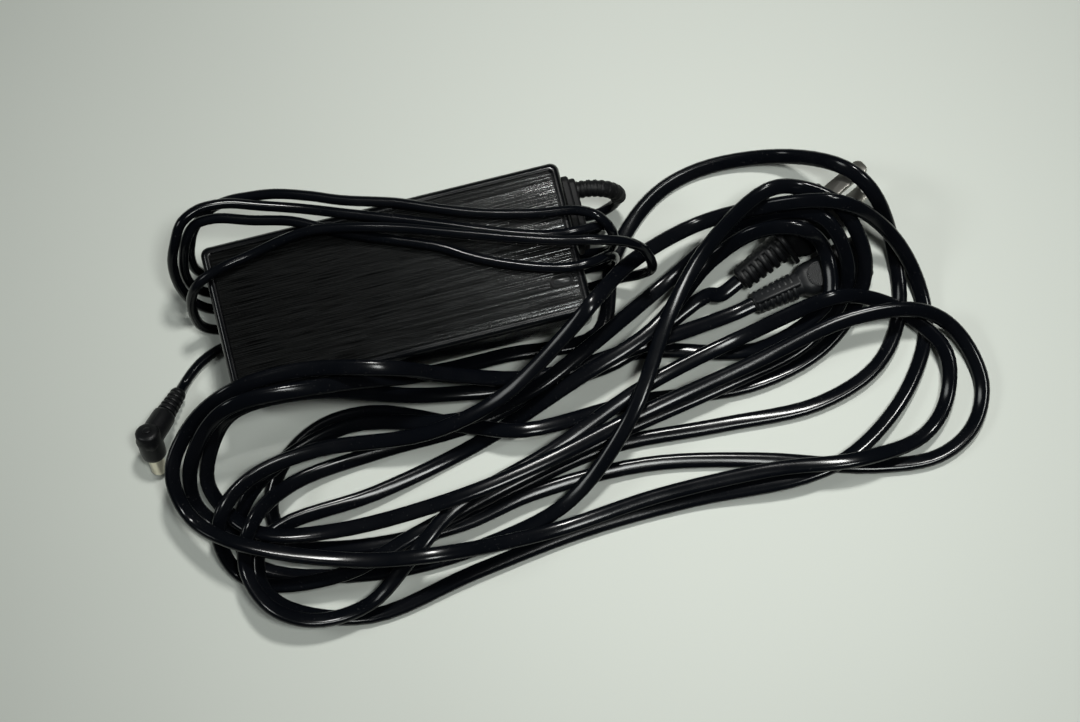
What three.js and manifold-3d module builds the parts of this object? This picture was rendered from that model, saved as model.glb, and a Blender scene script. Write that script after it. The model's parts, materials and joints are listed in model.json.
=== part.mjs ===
// Laptop power adapter, mm, +Z up, the housing's centre at the origin, its long side along X.
import * as THREE from "three";
import { mergeVertices } from "three/addons/utils/BufferGeometryUtils.js";
import Module from "manifold-3d";

const wasm = await Module();
wasm.setup();

// ---- sizes of the housing
const length = 126;
const width = 54;
const height = 30;
const wall = 2;
const edgeRound = 3;
const fit = 0.3;
const panelInset = 2.8;
const panelSink = 0.8;
const panelThick = 0.4;

// ---- sizes of the cords
const dcDia = 3.6;
const acWide = 5.4;
const acThick = 3.2;
const underBrick = -height / 2 - fit - dcDia / 2;
const floorZ = underBrick - 0.4 * dcDia;

// ---- materials, one per look
function look(name, colour, metalness, roughness) {
  const m = new THREE.MeshStandardMaterial({ color: colour, metalness, roughness });
  m.name = name;
  return m;
}
const mats = {
  housing: look("housing_plastic", 0x15161a, 0, 0.45),
  panel: look("brushed_panel", 0x202125, 0.6, 0.5),
  clear: look("window_plastic", 0x2a2c30, 0, 0.2),
  jacket: look("cord_jacket", 0x111215, 0, 0.4),
  rubber: look("moulded_rubber", 0x17181b, 0, 0.6),
  plated: look("plated_metal", 0xc8c4b8, 1, 0.25),
  cream: look("cream_insulator", 0xd9d2bf, 0, 0.5),
  board: look("board_laminate", 0x1f5a35, 0, 0.5),
  ferrite: look("ferrite", 0x2b2b2d, 0, 0.7),
  copper: look("winding_copper", 0xb46a38, 1, 0.35),
  aluminium: look("heat_sink_aluminium", 0xb9bcc0, 1, 0.4),
  component: look("component_case", 0x26262a, 0, 0.5),
  film: look("film_yellow", 0xd9b13a, 0, 0.5),
  sheet: look("sheet_film", 0xe6e2d2, 0, 0.6),
};

const root = new THREE.Group();
root.name = "laptop_power_adapter";
function add(name, geometry, material) {
  const g = geometry.index ? geometry.toNonIndexed() : geometry;
  g.computeVertexNormals();
  const mesh = new THREE.Mesh(g, material);
  mesh.name = name;
  root.add(mesh);
  return mesh;
}

// ---- closed surface through rings of equal point count, capped at both ends
const v3 = (x, y, z) => new THREE.Vector3(x, y, z);
function skin(rings) {
  const n = rings[0].length;
  const pos = [];
  const tri = (a, b, c) => pos.push(a.x, a.y, a.z, b.x, b.y, b.z, c.x, c.y, c.z);
  const mid = (ring) => ring.reduce((s, p) => s.add(p), v3(0, 0, 0)).multiplyScalar(1 / n);
  for (let i = 0; i + 1 < rings.length; i++) {
    for (let k = 0; k < n; k++) {
      const a = rings[i][k];
      const b = rings[i][(k + 1) % n];
      const c = rings[i + 1][(k + 1) % n];
      const d = rings[i + 1][k];
      tri(a, b, c);
      tri(a, c, d);
    }
  }
  const first = mid(rings[0]);
  const last = mid(rings[rings.length - 1]);
  for (let k = 0; k < n; k++) {
    tri(rings[0][(k + 1) % n], rings[0][k], first);
    tri(rings[rings.length - 1][k], rings[rings.length - 1][(k + 1) % n], last);
  }
  let volume = 0;
  for (let i = 0; i < pos.length; i += 9) {
    const a = v3(pos[i], pos[i + 1], pos[i + 2]);
    const b = v3(pos[i + 3], pos[i + 4], pos[i + 5]);
    const c = v3(pos[i + 6], pos[i + 7], pos[i + 8]);
    volume += a.dot(b.cross(c));
  }
  if (volume < 0) {
    for (let i = 0; i < pos.length; i += 9) {
      for (let k = 0; k < 3; k++) {
        [pos[i + 3 + k], pos[i + 6 + k]] = [pos[i + 6 + k], pos[i + 3 + k]];
      }
    }
  }
  const g = new THREE.BufferGeometry();
  g.setAttribute("position", new THREE.Float32BufferAttribute(pos, 3));
  return g;
}

// ---- outlines in a plane: a rounded rectangle and a circle, as [a, b] pairs
function roundedRect(halfA, halfB, radius, steps = 3) {
  const r = Math.min(radius, halfA, halfB);
  const out = [];
  const corners = [[1, 1, 0], [-1, 1, 90], [-1, -1, 180], [1, -1, 270]];
  for (const [sa, sb, start] of corners) {
    for (let k = 0; k <= steps; k++) {
      const t = ((start + (90 * k) / steps) * Math.PI) / 180;
      out.push([sa * (halfA - r) + r * Math.cos(t), sb * (halfB - r) + r * Math.sin(t)]);
    }
  }
  return out;
}
function circle(radius, sides, turn = 0) {
  return Array.from({ length: sides }, (_, k) => {
    const t = turn + (2 * Math.PI * k) / sides;
    return [radius * Math.cos(t), radius * Math.sin(t)];
  });
}
// rounded box with its rounding along Z in two facets: bevel at the bottom and the top
function upright(cx, cy, levels) {
  return skin(levels.map(([z, hx, hy, r, steps]) =>
    roundedRect(hx, hy, r, steps ?? 3).map(([a, b]) => v3(cx + a, cy + b, z))));
}
function box(cx, cy, cz, sx, sy, sz) {
  const g = new THREE.BoxGeometry(sx, sy, sz);
  g.translate(cx, cy, cz);
  return g;
}
// outlines set along a straight axis: stations are [distance, outline, shift a, shift b]
function along(start, axis, up, stations) {
  const t = axis.clone().normalize();
  const u = up.clone().addScaledVector(t, -up.dot(t)).normalize();
  const w = new THREE.Vector3().crossVectors(u, t);
  return skin(stations.map(([s, outline, da = 0, db = 0]) => outline.map(([a, b]) =>
    start.clone().addScaledVector(t, s).addScaledVector(w, a + da).addScaledVector(u, b + db))));
}
// ---- joining and cutting
function toSolid(geometry) {
  const bare = new THREE.BufferGeometry();
  const g = geometry.index ? geometry.toNonIndexed() : geometry;
  bare.setAttribute("position", g.getAttribute("position").clone());
  const merged = mergeVertices(bare, 1e-4);
  return new wasm.Manifold(new wasm.Mesh({
    numProp: 3,
    vertProperties: new Float32Array(merged.getAttribute("position").array),
    triVerts: new Uint32Array(merged.index.array),
  }));
}
function toGeometry(solid) {
  const m = solid.getMesh();
  const g = new THREE.BufferGeometry();
  g.setAttribute("position", new THREE.Float32BufferAttribute(m.vertProperties, 3));
  g.setIndex(Array.from(m.triVerts));
  return g;
}
function join(...parts) {
  return toGeometry(parts.map(toSolid).reduce((a, b) => a.add(b)));
}
function cut(body, ...tools) {
  return toGeometry(tools.map(toSolid).reduce((a, b) => a.subtract(b), toSolid(body)));
}

// ---- a centripetal curve through points, sampled with a set number of steps a span
function curveThrough(points, perSpan) {
  const p = points.map((q) => v3(q[0], q[1], q[2]));
  const all = [p[0].clone().multiplyScalar(2).sub(p[1]), ...p];
  all.push(p[p.length - 1].clone().multiplyScalar(2).sub(p[p.length - 2]));
  const out = [];
  const mix = (a, b, ta, tb, t) =>
    a.clone().multiplyScalar((tb - t) / (tb - ta)).addScaledVector(b, (t - ta) / (tb - ta));
  for (let i = 1; i + 2 < all.length; i++) {
    const [a, b, c, d] = all.slice(i - 1, i + 3);
    const t1 = Math.sqrt(a.distanceTo(b));
    const t2 = t1 + Math.sqrt(b.distanceTo(c));
    const t3 = t2 + Math.sqrt(c.distanceTo(d));
    for (let k = 0; k < perSpan; k++) {
      const t = t1 + ((t2 - t1) * k) / perSpan;
      const a1 = mix(a, b, 0, t1, t);
      const a2 = mix(b, c, t1, t2, t);
      const a3 = mix(c, d, t2, t3, t);
      out.push(mix(mix(a1, a2, 0, t2, t), mix(a2, a3, t1, t3, t), t1, t2, t));
    }
  }
  out.push(p[p.length - 1]);
  return out;
}
// tangents of a sampled line; the ends keep the direction of the first and last piece
function tangents(line) {
  return line.map((_, i) => line[Math.min(i + 1, line.length - 1)].clone()
    .sub(line[Math.max(i - 1, 0)]).normalize());
}
// flat cord: its section stays level, wide side across the run
function flatTube(line, t) {
  const half = acWide / 2;
  const round = acThick / 2;
  const outline = [[half, 0], [half - round + 0.2, round], [-half + round - 0.2, round],
    [-half, 0], [-half + round - 0.2, -round], [half - round + 0.2, -round]];
  return skin(line.map((p, i) => {
    const side = v3(t[i].y, -t[i].x, 0).normalize();
    const up = new THREE.Vector3().crossVectors(side, t[i]);
    return outline.map(([a, b]) => p.clone().addScaledVector(side, a).addScaledVector(up, b));
  }));
}
// round cord: the section is carried along without twist; the side on the floor is cut flat
function roundTube(line, t, radius, sides) {
  let u = v3(0, 0, 1);
  return skin(line.map((p, i) => {
    u = u.clone().addScaledVector(t[i], -u.dot(t[i])).normalize();
    if (Math.abs(t[i].z) < 0.4) {
      const flat = v3(0, 0, 1).addScaledVector(t[i], -t[i].z).normalize();
      const angle = Math.atan2(flat.clone().cross(u).dot(t[i]), flat.dot(u));
      const part = (2 * Math.PI) / sides;
      const off = angle - Math.round(angle / part) * part;
      u.applyAxisAngle(t[i], -Math.max(-0.15, Math.min(0.15, off)));
    }
    const w = new THREE.Vector3().crossVectors(t[i], u);
    return circle(radius, sides, (Math.PI / sides) * (1 - ((sides / 2) % 2))).map(([a, b]) => {
      const q = p.clone().addScaledVector(w, a).addScaledVector(u, b);
      q.z = Math.max(q.z, floorZ);
      return q;
    });
  }));
}
function lineLength(line) {
  return line.slice(1).reduce((s, p, i) => s + p.distanceTo(line[i]), 0);
}

// ---- the housing: two hollow covers meeting at mid height, a panel let into the top
const hx = length / 2;
const hy = width / 2;
const hz = height / 2;
const seam = fit / 2;
const inX = hx - wall;
const inY = hy - wall;
const floorIn = -hz + wall;
const recess = hz - panelSink;
const bezelX = hx - panelInset;
const bezelY = hy - panelInset;

// mains inlet in the left end
const inletZ = -1.9;
const inletWide = 20;
const inletTall = 12;
const inletDeep = 17;
const inletY = -inY + 1 + inletWide / 2;
const pinSpacing = 8.6;
const pinDia = 2.4;

// strain relief in the right end
const collarWide = 26.4;
const collarTall = 16;
const collarY = inY - 2.6 - collarWide / 2;
const collarZ = 2.5;

// status window in the top
const ledX = hx - 8.5;
const ledY = -inY + 11;
const windowLong = 8.6;
const windowWide = 4.7;

function slotX(x0, x1, cy, cz, halfWide, halfTall, radius, grow = 0) {
  return along(v3(x0, cy, cz), v3(1, 0, 0), v3(0, 0, 1), [
    [0, roundedRect(halfWide + grow, halfTall + grow, radius + grow)],
    [x1 - x0, roundedRect(halfWide + grow, halfTall + grow, radius + grow)],
  ]);
}
const inletHole = slotX(-hx - 1, -inX + 1, inletY, inletZ, inletWide / 2, inletTall / 2, 1.5, fit);
const neckHalfWide = collarWide / 2 - 3;
const neckHalfTall = collarTall / 2 - 3;
const neckHole = slotX(inX - 1, hx + 1, collarY, collarZ, neckHalfWide, neckHalfTall, 2, fit);

const lowerShell = upright(0, 0, [
  [-hz, hx - 2.2, hy - 2.2, 1.8],
  [-hz + 0.9, hx - 0.9, hy - 0.9, 2.4],
  [-hz + edgeRound, hx, hy, edgeRound],
  [-seam, hx, hy, edgeRound],
  [-seam, inX, inY, 1.5],
  [floorIn, inX, inY, 1.5],
]);
const boardZ = -9;
const boardThick = 1.6;
const boardUnder = boardZ - boardThick / 2;
const boardOver = boardZ + boardThick / 2;
const postX = inX - 7;
const postY = inY - 6;
const posts = [[-postX, -postY], [-postX, postY], [postX, -postY], [postX, postY]].map(([x, y]) => {
  const g = new THREE.CylinderGeometry(2.4, 2.8, boardUnder - fit - floorIn + 0.5, 10);
  g.rotateX(Math.PI / 2);
  g.translate(x, y, (boardUnder - fit + floorIn - 0.5) / 2);
  return g;
});
add("bottom_cover", cut(join(lowerShell, ...posts), inletHole, neckHole), mats.housing);

const upperShell = upright(0, 0, [
  [recess - wall, inX, inY, 1.5],
  [seam, inX, inY, 1.5],
  [seam, hx, hy, edgeRound],
  [hz - edgeRound, hx, hy, edgeRound],
  [hz - 0.9, hx - 0.9, hy - 0.9, 2.4],
  [hz, hx - 1.9, hy - 1.9, 2],
  [hz, bezelX, bezelY, 1.2],
  [recess, bezelX, bezelY, 1.2],
]);
const stemRadius = 1.4;
const stemHole = new THREE.CylinderGeometry(stemRadius + fit, stemRadius + fit, 8, 12);
stemHole.rotateX(Math.PI / 2);
stemHole.translate(ledX, ledY, recess - 1);
add("top_cover", cut(upperShell, inletHole, neckHole, stemHole), mats.housing);

const panelZ = recess + fit;
const panelPlate = upright(0, 0, [
  [panelZ, bezelX - fit, bezelY - fit, 1],
  [panelZ + panelThick, bezelX - fit, bezelY - fit, 1],
]);
const windowHole = upright(ledX, ledY, [
  [panelZ - 1, windowLong / 2, windowWide / 2, 3, 4],
  [panelZ + 1, windowLong / 2, windowWide / 2, 3, 4],
]);
add("top_panel", cut(panelPlate, windowHole), mats.panel);

const ledTop = boardOver + fit + 5;
const windowHead = upright(ledX, ledY, [
  [panelZ, windowLong / 2 - fit, windowWide / 2 - fit, 3, 4],
  [panelZ + panelThick, windowLong / 2 - fit, windowWide / 2 - fit, 3, 4],
]);
const stem = new THREE.CylinderGeometry(stemRadius, stemRadius, panelZ + 0.1 - ledTop - fit, 12);
stem.rotateX(Math.PI / 2);
stem.translate(ledX, ledY, (panelZ + 0.1 + ledTop + fit) / 2);
add("led_window", join(windowHead, stem), mats.clear);

// ---- the board and what stands on it, 0.3 mm above it where solder holds it
const onBoard = boardOver + fit;
const boardLong = 2 * (inX - 3.5);
const boardWide = 2 * (inY - 2);
// the pieces keep their places as shares of the board
const atX = (x) => (x * boardLong) / 115;
const atY = (y) => (y * boardWide) / 46;
add("insulating_sheet", box(0, 0, floorIn + fit + 0.2, boardLong - 15, boardWide - 14, 0.4), mats.sheet);
const boardPlate = box(0, 0, boardZ, boardLong, boardWide, boardThick);
add("circuit_board", boardPlate, mats.board);

function standing(name, x, y, sx, sy, sz, material) {
  add(name, box(x, y, onBoard + sz / 2, sx, sy, sz), material);
}
function can(name, x, y, dia, tall, material, lying) {
  const g = new THREE.CylinderGeometry(dia / 2, dia / 2, tall, 16);
  if (lying) {
    g.rotateZ(Math.PI / 2);
    g.translate(x, y, onBoard + dia / 2);
  } else {
    g.rotateX(Math.PI / 2);
    g.translate(x, y, onBoard + tall / 2);
  }
  add(name, g, material);
}
can("status_led", ledX, ledY, 3, 5, mats.cream);

const inletBody = slotX(-hx, -hx + inletDeep, inletY, inletZ, inletWide / 2, inletTall / 2, 1.5);
const inletBore = slotX(-hx - 1, -hx + 12, inletY, inletZ, 8.4, 4.2, 4.2);
const pinHoles = [-1, 1].map((k) => {
  const g = new THREE.CylinderGeometry(pinDia / 2 + fit, pinDia / 2 + fit, 8, 12);
  g.rotateZ(Math.PI / 2);
  g.translate(-hx + 15, inletY + (k * pinSpacing) / 2, inletZ);
  return g;
});
add("inlet_housing", cut(inletBody, inletBore, ...pinHoles), mats.component);
for (const k of [-1, 1]) {
  const g = new THREE.CylinderGeometry(pinDia / 2, pinDia / 2, 17, 12);
  g.rotateZ(Math.PI / 2);
  g.translate(-hx + 3 + 8.5, inletY + (k * pinSpacing) / 2, inletZ);
  add(k < 0 ? "inlet_pin_1" : "inlet_pin_2", g, mats.plated);
}

can("fuse", atX(-34), atY(-19.5), 5, 14, mats.cream, true);
standing("x_capacitor", atX(-34), atY(-9.5), 15, 6, 12, mats.film);
const chokeX = atX(-50);
const chokeY = atY(9);
const chokeRing = upright(chokeX, chokeY, [
  [onBoard, 6, 6, 6, 5],
  [onBoard + 8, 6, 6, 6, 5],
]);
const chokeHole = upright(chokeX, chokeY, [
  [onBoard - 1, 2.6, 2.6, 2.6, 4],
  [onBoard + 9, 2.6, 2.6, 2.6, 4],
]);
add("common_mode_choke", cut(chokeRing, chokeHole), mats.copper);
standing("bridge_rectifier", atX(-36), 0, 15, 3.5, 14, mats.component);
can("bulk_capacitor", atX(-24.5), atY(12.5), 17.5, 30, mats.component, true);

// switching transformer: a ferrite frame with a middle leg, the winding round that leg
const coreX = atX(8);
const coreY = atY(2);
const coreZ = onBoard + 9;
const coreTall = 9;
const frameBlock = box(coreX, coreY, coreZ, 27, 25, coreTall);
const frameGaps = [-1, 1].map((k) => box(coreX, coreY + k * 7.25, coreZ, 18, 6.5, coreTall + 2));
add("transformer_core", cut(frameBlock, ...frameGaps), mats.ferrite);
const coilBlock = box(coreX, coreY, coreZ, 17.4, 20.2, 17.4);
const coilHole = box(coreX, coreY, coreZ, 20, 8.6, coreTall + 0.6);
add("transformer_winding", cut(coilBlock, coilHole), mats.copper);

// each heat sink with the device that is screwed to its face
const sinkThick = 2;
const deviceThick = 4.5;
const toDevice = sinkThick / 2 + fit + deviceThick / 2;
standing("primary_heat_sink", atX(-12), atY(-17), 24, sinkThick, 17, mats.aluminium);
standing("switching_transistor", atX(-12), atY(-17) + toDevice, 10, deviceThick, 15, mats.component);
standing("secondary_heat_sink", atX(33), atY(-18), 24, sinkThick, 17, mats.aluminium);
standing("output_rectifier", atX(33), atY(-18) + toDevice, 10, deviceThick, 15, mats.component);
standing("optocoupler", atX(15), atY(-18), 6, 4.5, 3.5, mats.component);
can("output_capacitor_1", atX(31), atY(7), 10, 17, mats.component);
can("output_capacitor_2", atX(43), atY(7), 10, 17, mats.component);
const outChoke = [[5, -1, 9], [2, -2, 10]].map(([r, z0, z1]) => upright(atX(37), atY(-5), [
  [onBoard + Math.max(z0, 0) + Math.min(z0 + 1, 0), r, r, r, 4],
  [onBoard + z1 - 1, r, r, r, 4],
]));
add("output_choke", cut(outChoke[0], outChoke[1]), mats.copper);

// ---- rings of changing size along a curved line, level in section
function pointAt(line, s) {
  let left = s;
  for (let i = 1; i < line.length; i++) {
    const d = line[i].distanceTo(line[i - 1]);
    if (left <= d || i === line.length - 1) {
      return line[i - 1].clone().lerp(line[i], left / d);
    }
    left -= d;
  }
  return line[line.length - 1].clone();
}
function ribbed(line, stations, sides) {
  let u = v3(0, 0, 1);
  return skin(stations.map(([s, radius]) => {
    const p = pointAt(line, s);
    const t = pointAt(line, s + 0.4).sub(pointAt(line, Math.max(s - 0.4, 0))).normalize();
    u = u.clone().addScaledVector(t, -u.dot(t)).normalize();
    const w = new THREE.Vector3().crossVectors(t, u);
    return circle(radius, sides).map(([a, b]) =>
      p.clone().addScaledVector(w, a).addScaledVector(u, b));
  }));
}
// ribs: count ribs of radius big, grooves of radius small, from s0 to s1
function ribStations(s0, s1, count, big, small) {
  const pitch = (s1 - s0) / count;
  const out = [];
  for (let i = 0; i < count; i++) {
    const at = s0 + i * pitch;
    const b = Array.isArray(big) ? big[0] + ((big[1] - big[0]) * i) / (count - 1) : big;
    out.push([at, b], [at + pitch * 0.55, b], [at + pitch * 0.65, b - small]);
    if (i + 1 < count) out.push([at + pitch * 0.92, b - small]);
  }
  return out;
}

// output strain relief: inner flange, neck, two outer collars, a ribbed sleeve that droops
const collarX = hx + fit;
const reliefLine = curveThrough([[hx + 4, collarY + 9.4, collarZ + 0.5], [72.5, 17.9, 3.3], [77.8, 16.2, 2.4],
  [81.3, 14.6, -1.4], [82, 13.7, -6]], 6);
const reliefLong = lineLength(reliefLine);
const reliefSleeve = ribbed(reliefLine, [[0, 2.9], ...ribStations(2, reliefLong, 9, [3, 2.7], 0.7)], 12);
const collar = (x0, x1, grow, radius) => slotX(x0, x1, collarY, collarZ,
  collarWide / 2 + grow, collarTall / 2 + grow, radius);
add("output_strain_relief", join(
  collar(inX - 2.8, inX - fit, 0, 2),
  slotX(inX - 1, collarX + 1, collarY, collarZ, neckHalfWide, neckHalfTall, 2),
  collar(collarX, collarX + 2.4, 0, 3),
  collar(collarX + 2.3, collarX + 4.6, -1.2, 2.5),
  reliefSleeve,
), mats.rubber);

// ---- output cord: from the relief under the housing, four times round it, out to the plug
const dcRoute = [
  [82, 13.5, -6.3], [81.8, 13.3, -9.9], [79.5, 12.5, -14.5], [74, 11.5, -17.1], [64, 12, -17.1],
  [20, 16, -17.1], [-20, 19, -17.1], [-57, 22, -17.1], [-64, 23, -16], [-67.5, 25, -8],
  [-67.5, 27.5, 1], [-66, 30, 8], [-63, 34.5, 12.5], [-57, 39, 14], [-50, 40.5, 15],
  [-42, 40, 16], [-33, 38.5, 17.1], [-22, 35, 17.1], [-12, 31, 17.1], [6, 25.5, 17.1],
  [17, 21, 17.1], [33, 15, 17.1], [53, 10, 17.1], [65, 8, 17.5], [71.5, 4, 19], [75, -1, 15.5],
  [75.5, -4, 7], [74.5, -4, -4], [71, -3, -12], [66, -1.5, -16.5], [60, -1, -17.1],
  [20, 3, -17.1], [-20, 7, -17.1], [-57, 10, -17.1], [-65, 11, -16.5], [-71, 14, -8],
  [-73.5, 19, 2], [-73, 25, 11], [-70, 30, 18], [-66, 35.5, 21.5], [-60, 38.5, 21.5],
  [-55, 39, 21], [-49, 38.5, 20], [-39, 35.5, 18.5], [-26, 31.5, 17.1], [-10, 25.5, 17.1],
  [6, 19.5, 17.1], [19, 14.5, 17.1], [38, 7, 17.1], [54, 2, 17.1], [64, 1, 17.1],
  [71, 1.5, 14.5], [74.5, 2, 7], [75, 3, -2], [72.5, 4, -11], [67, 5, -16], [60, 5, -17.1],
  [20, 8.5, -17.1], [-20, 12, -17.1], [-57, 16, -17.1], [-65, 17, -16], [-70, 19.5, -6],
  [-70.5, 23, 2.5], [-68.5, 27.5, 10.5], [-66, 31, 16], [-62, 34.5, 18], [-55, 35, 18],
  [-43, 31.5, 17.5], [-30, 28, 17.1], [-21, 23.5, 17.1], [-12, 19, 17.1], [4, 12.5, 17.1],
  [17, 7, 17.1], [26, 1.5, 17.1], [35, -3, 17.1], [48, -8, 17.1], [58, -10.5, 17.1],
  [66, -10.5, 16.5], [72, -9, 12], [74.5, -8.5, 4], [74.5, -8.5, -4], [71, -8, -11.5],
  [66, -7, -16], [60, -7, -17.1], [20, -4, -17.1], [-20, 0, -17.1], [-57, 3, -17.1],
  [-65, 3.5, -16.5], [-70, 5, -9], [-71, 8, 0], [-69.5, 12, 9], [-65.5, 15, 15.5],
  [-58, 17.5, 18], [-46, 20, 17.1], [-35, 22, 18], [-25, 22.5, 20.5], [-15, 21, 21.5],
  [5, 16, 21], [18, 11.5, 21], [31, 7, 21], [44, 2.5, 21], [57, -1.5, 21], [70, -4.5, 21],
  [79, -7, 18], [84.5, -10, 12], [86.5, -15, 3.5], [82.5, -15, -6], [76, -14, -10.5],
  [69, -14, -13], [64, -13.5, -16.5], [57, -12.5, -17.1], [20, -9.5, -17.1], [-20, -6, -17.1],
  [-57, -2.5, -17.1], [-66, -3, -17.1], [-73, -5.6, -17.1], [-77.6, -8.7, -17.1],
  [-81.2, -12, -17.1], [-83.3, -14.6, -15.2],
];
const leadStart = 4;
const dcLine = curveThrough(dcRoute, 2);
const leadFrom = dcLine.length - 1 - 2 * leadStart;
// part of a sampled cord, from point a to point b; an inner end is moved in by the small gap, so
// two parts of one cord meet face to face
function stretch(line, a, b, moveStart, moveEnd) {
  const t = tangents(line).slice(a, b + 1);
  const p = line.slice(a, b + 1).map((q) => q.clone());
  if (moveStart) p[0].addScaledVector(t[0], fit);
  if (moveEnd) p[p.length - 1].addScaledVector(t[t.length - 1], -fit);
  return [p, t];
}
const dcLast = dcLine.length - 1;
add("dc_cord_winding", roundTube(...stretch(dcLine, 0, leadFrom), dcDia / 2, 6), mats.jacket);
add("dc_cord_lead", roundTube(...stretch(dcLine, leadFrom, dcLast, true), dcDia / 2, 8), mats.jacket);

// ---- output plug: a ribbed sleeve rising to an elbow, the barrel at a right angle to it
const dcEnd = v3(...dcRoute[dcRoute.length - 1]);
const elbow = v3(-96, -30, -4);
const dcAxis = elbow.clone().sub(dcEnd).normalize();
const barrelAxis = v3(-0.08, -0.63, -0.77);
barrelAxis.addScaledVector(dcAxis, -barrelAxis.dot(dcAxis)).normalize();
const elbowAt = dcEnd.distanceTo(elbow);
const sleeveRing = (s, r, sides = 14) => [s, circle(r, sides)];
const dcSleeve = along(dcEnd, dcAxis, v3(0, 0, 1), [
  sleeveRing(fit, 2.6),
  ...ribStations(1, 10.5, 5, [2.9, 3.5], 0.8).map(([s, r]) => sleeveRing(s, r)),
  sleeveRing(11.5, 4.1),
  sleeveRing(elbowAt + 1.2, 4.3),
  sleeveRing(elbowAt + 3.4, 3.4),
  sleeveRing(elbowAt + 4.4, 1.6),
]);
const barrelMould = along(elbow, barrelAxis, dcAxis, [
  sleeveRing(-4.9, 1.4), sleeveRing(-4.4, 1.4), sleeveRing(-4.4, 3.2), sleeveRing(-3.5, 4.3),
  sleeveRing(4.6, 4.5), sleeveRing(8, 4.2),
]);
const barrelBore = along(elbow, barrelAxis, dcAxis, [sleeveRing(5.5, 3.05), sleeveRing(9, 3.05)]);
add("dc_plug_body", cut(join(dcSleeve, barrelMould), barrelBore), mats.rubber);
const tipEnd = 16.3;
const barrelTube = (outer, inner, s0, s1) => cut(
  along(elbow, barrelAxis, dcAxis, [sleeveRing(s0, outer), sleeveRing(s1, outer)]),
  along(elbow, barrelAxis, dcAxis, [sleeveRing(s0 - 1, inner), sleeveRing(s1 + 1, inner)]),
);
add("dc_plug_sleeve", barrelTube(2.75, 2.4, 5.8, tipEnd), mats.plated);
add("dc_plug_insulator", barrelTube(2.1, 1.4, 5.8, tipEnd - 0.3), mats.cream);
add("dc_plug_contact", along(elbow, barrelAxis, dcAxis,
  [sleeveRing(5.8, 1.1, 10), sleeveRing(tipEnd - 1, 1.1, 10)]), mats.plated);

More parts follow.
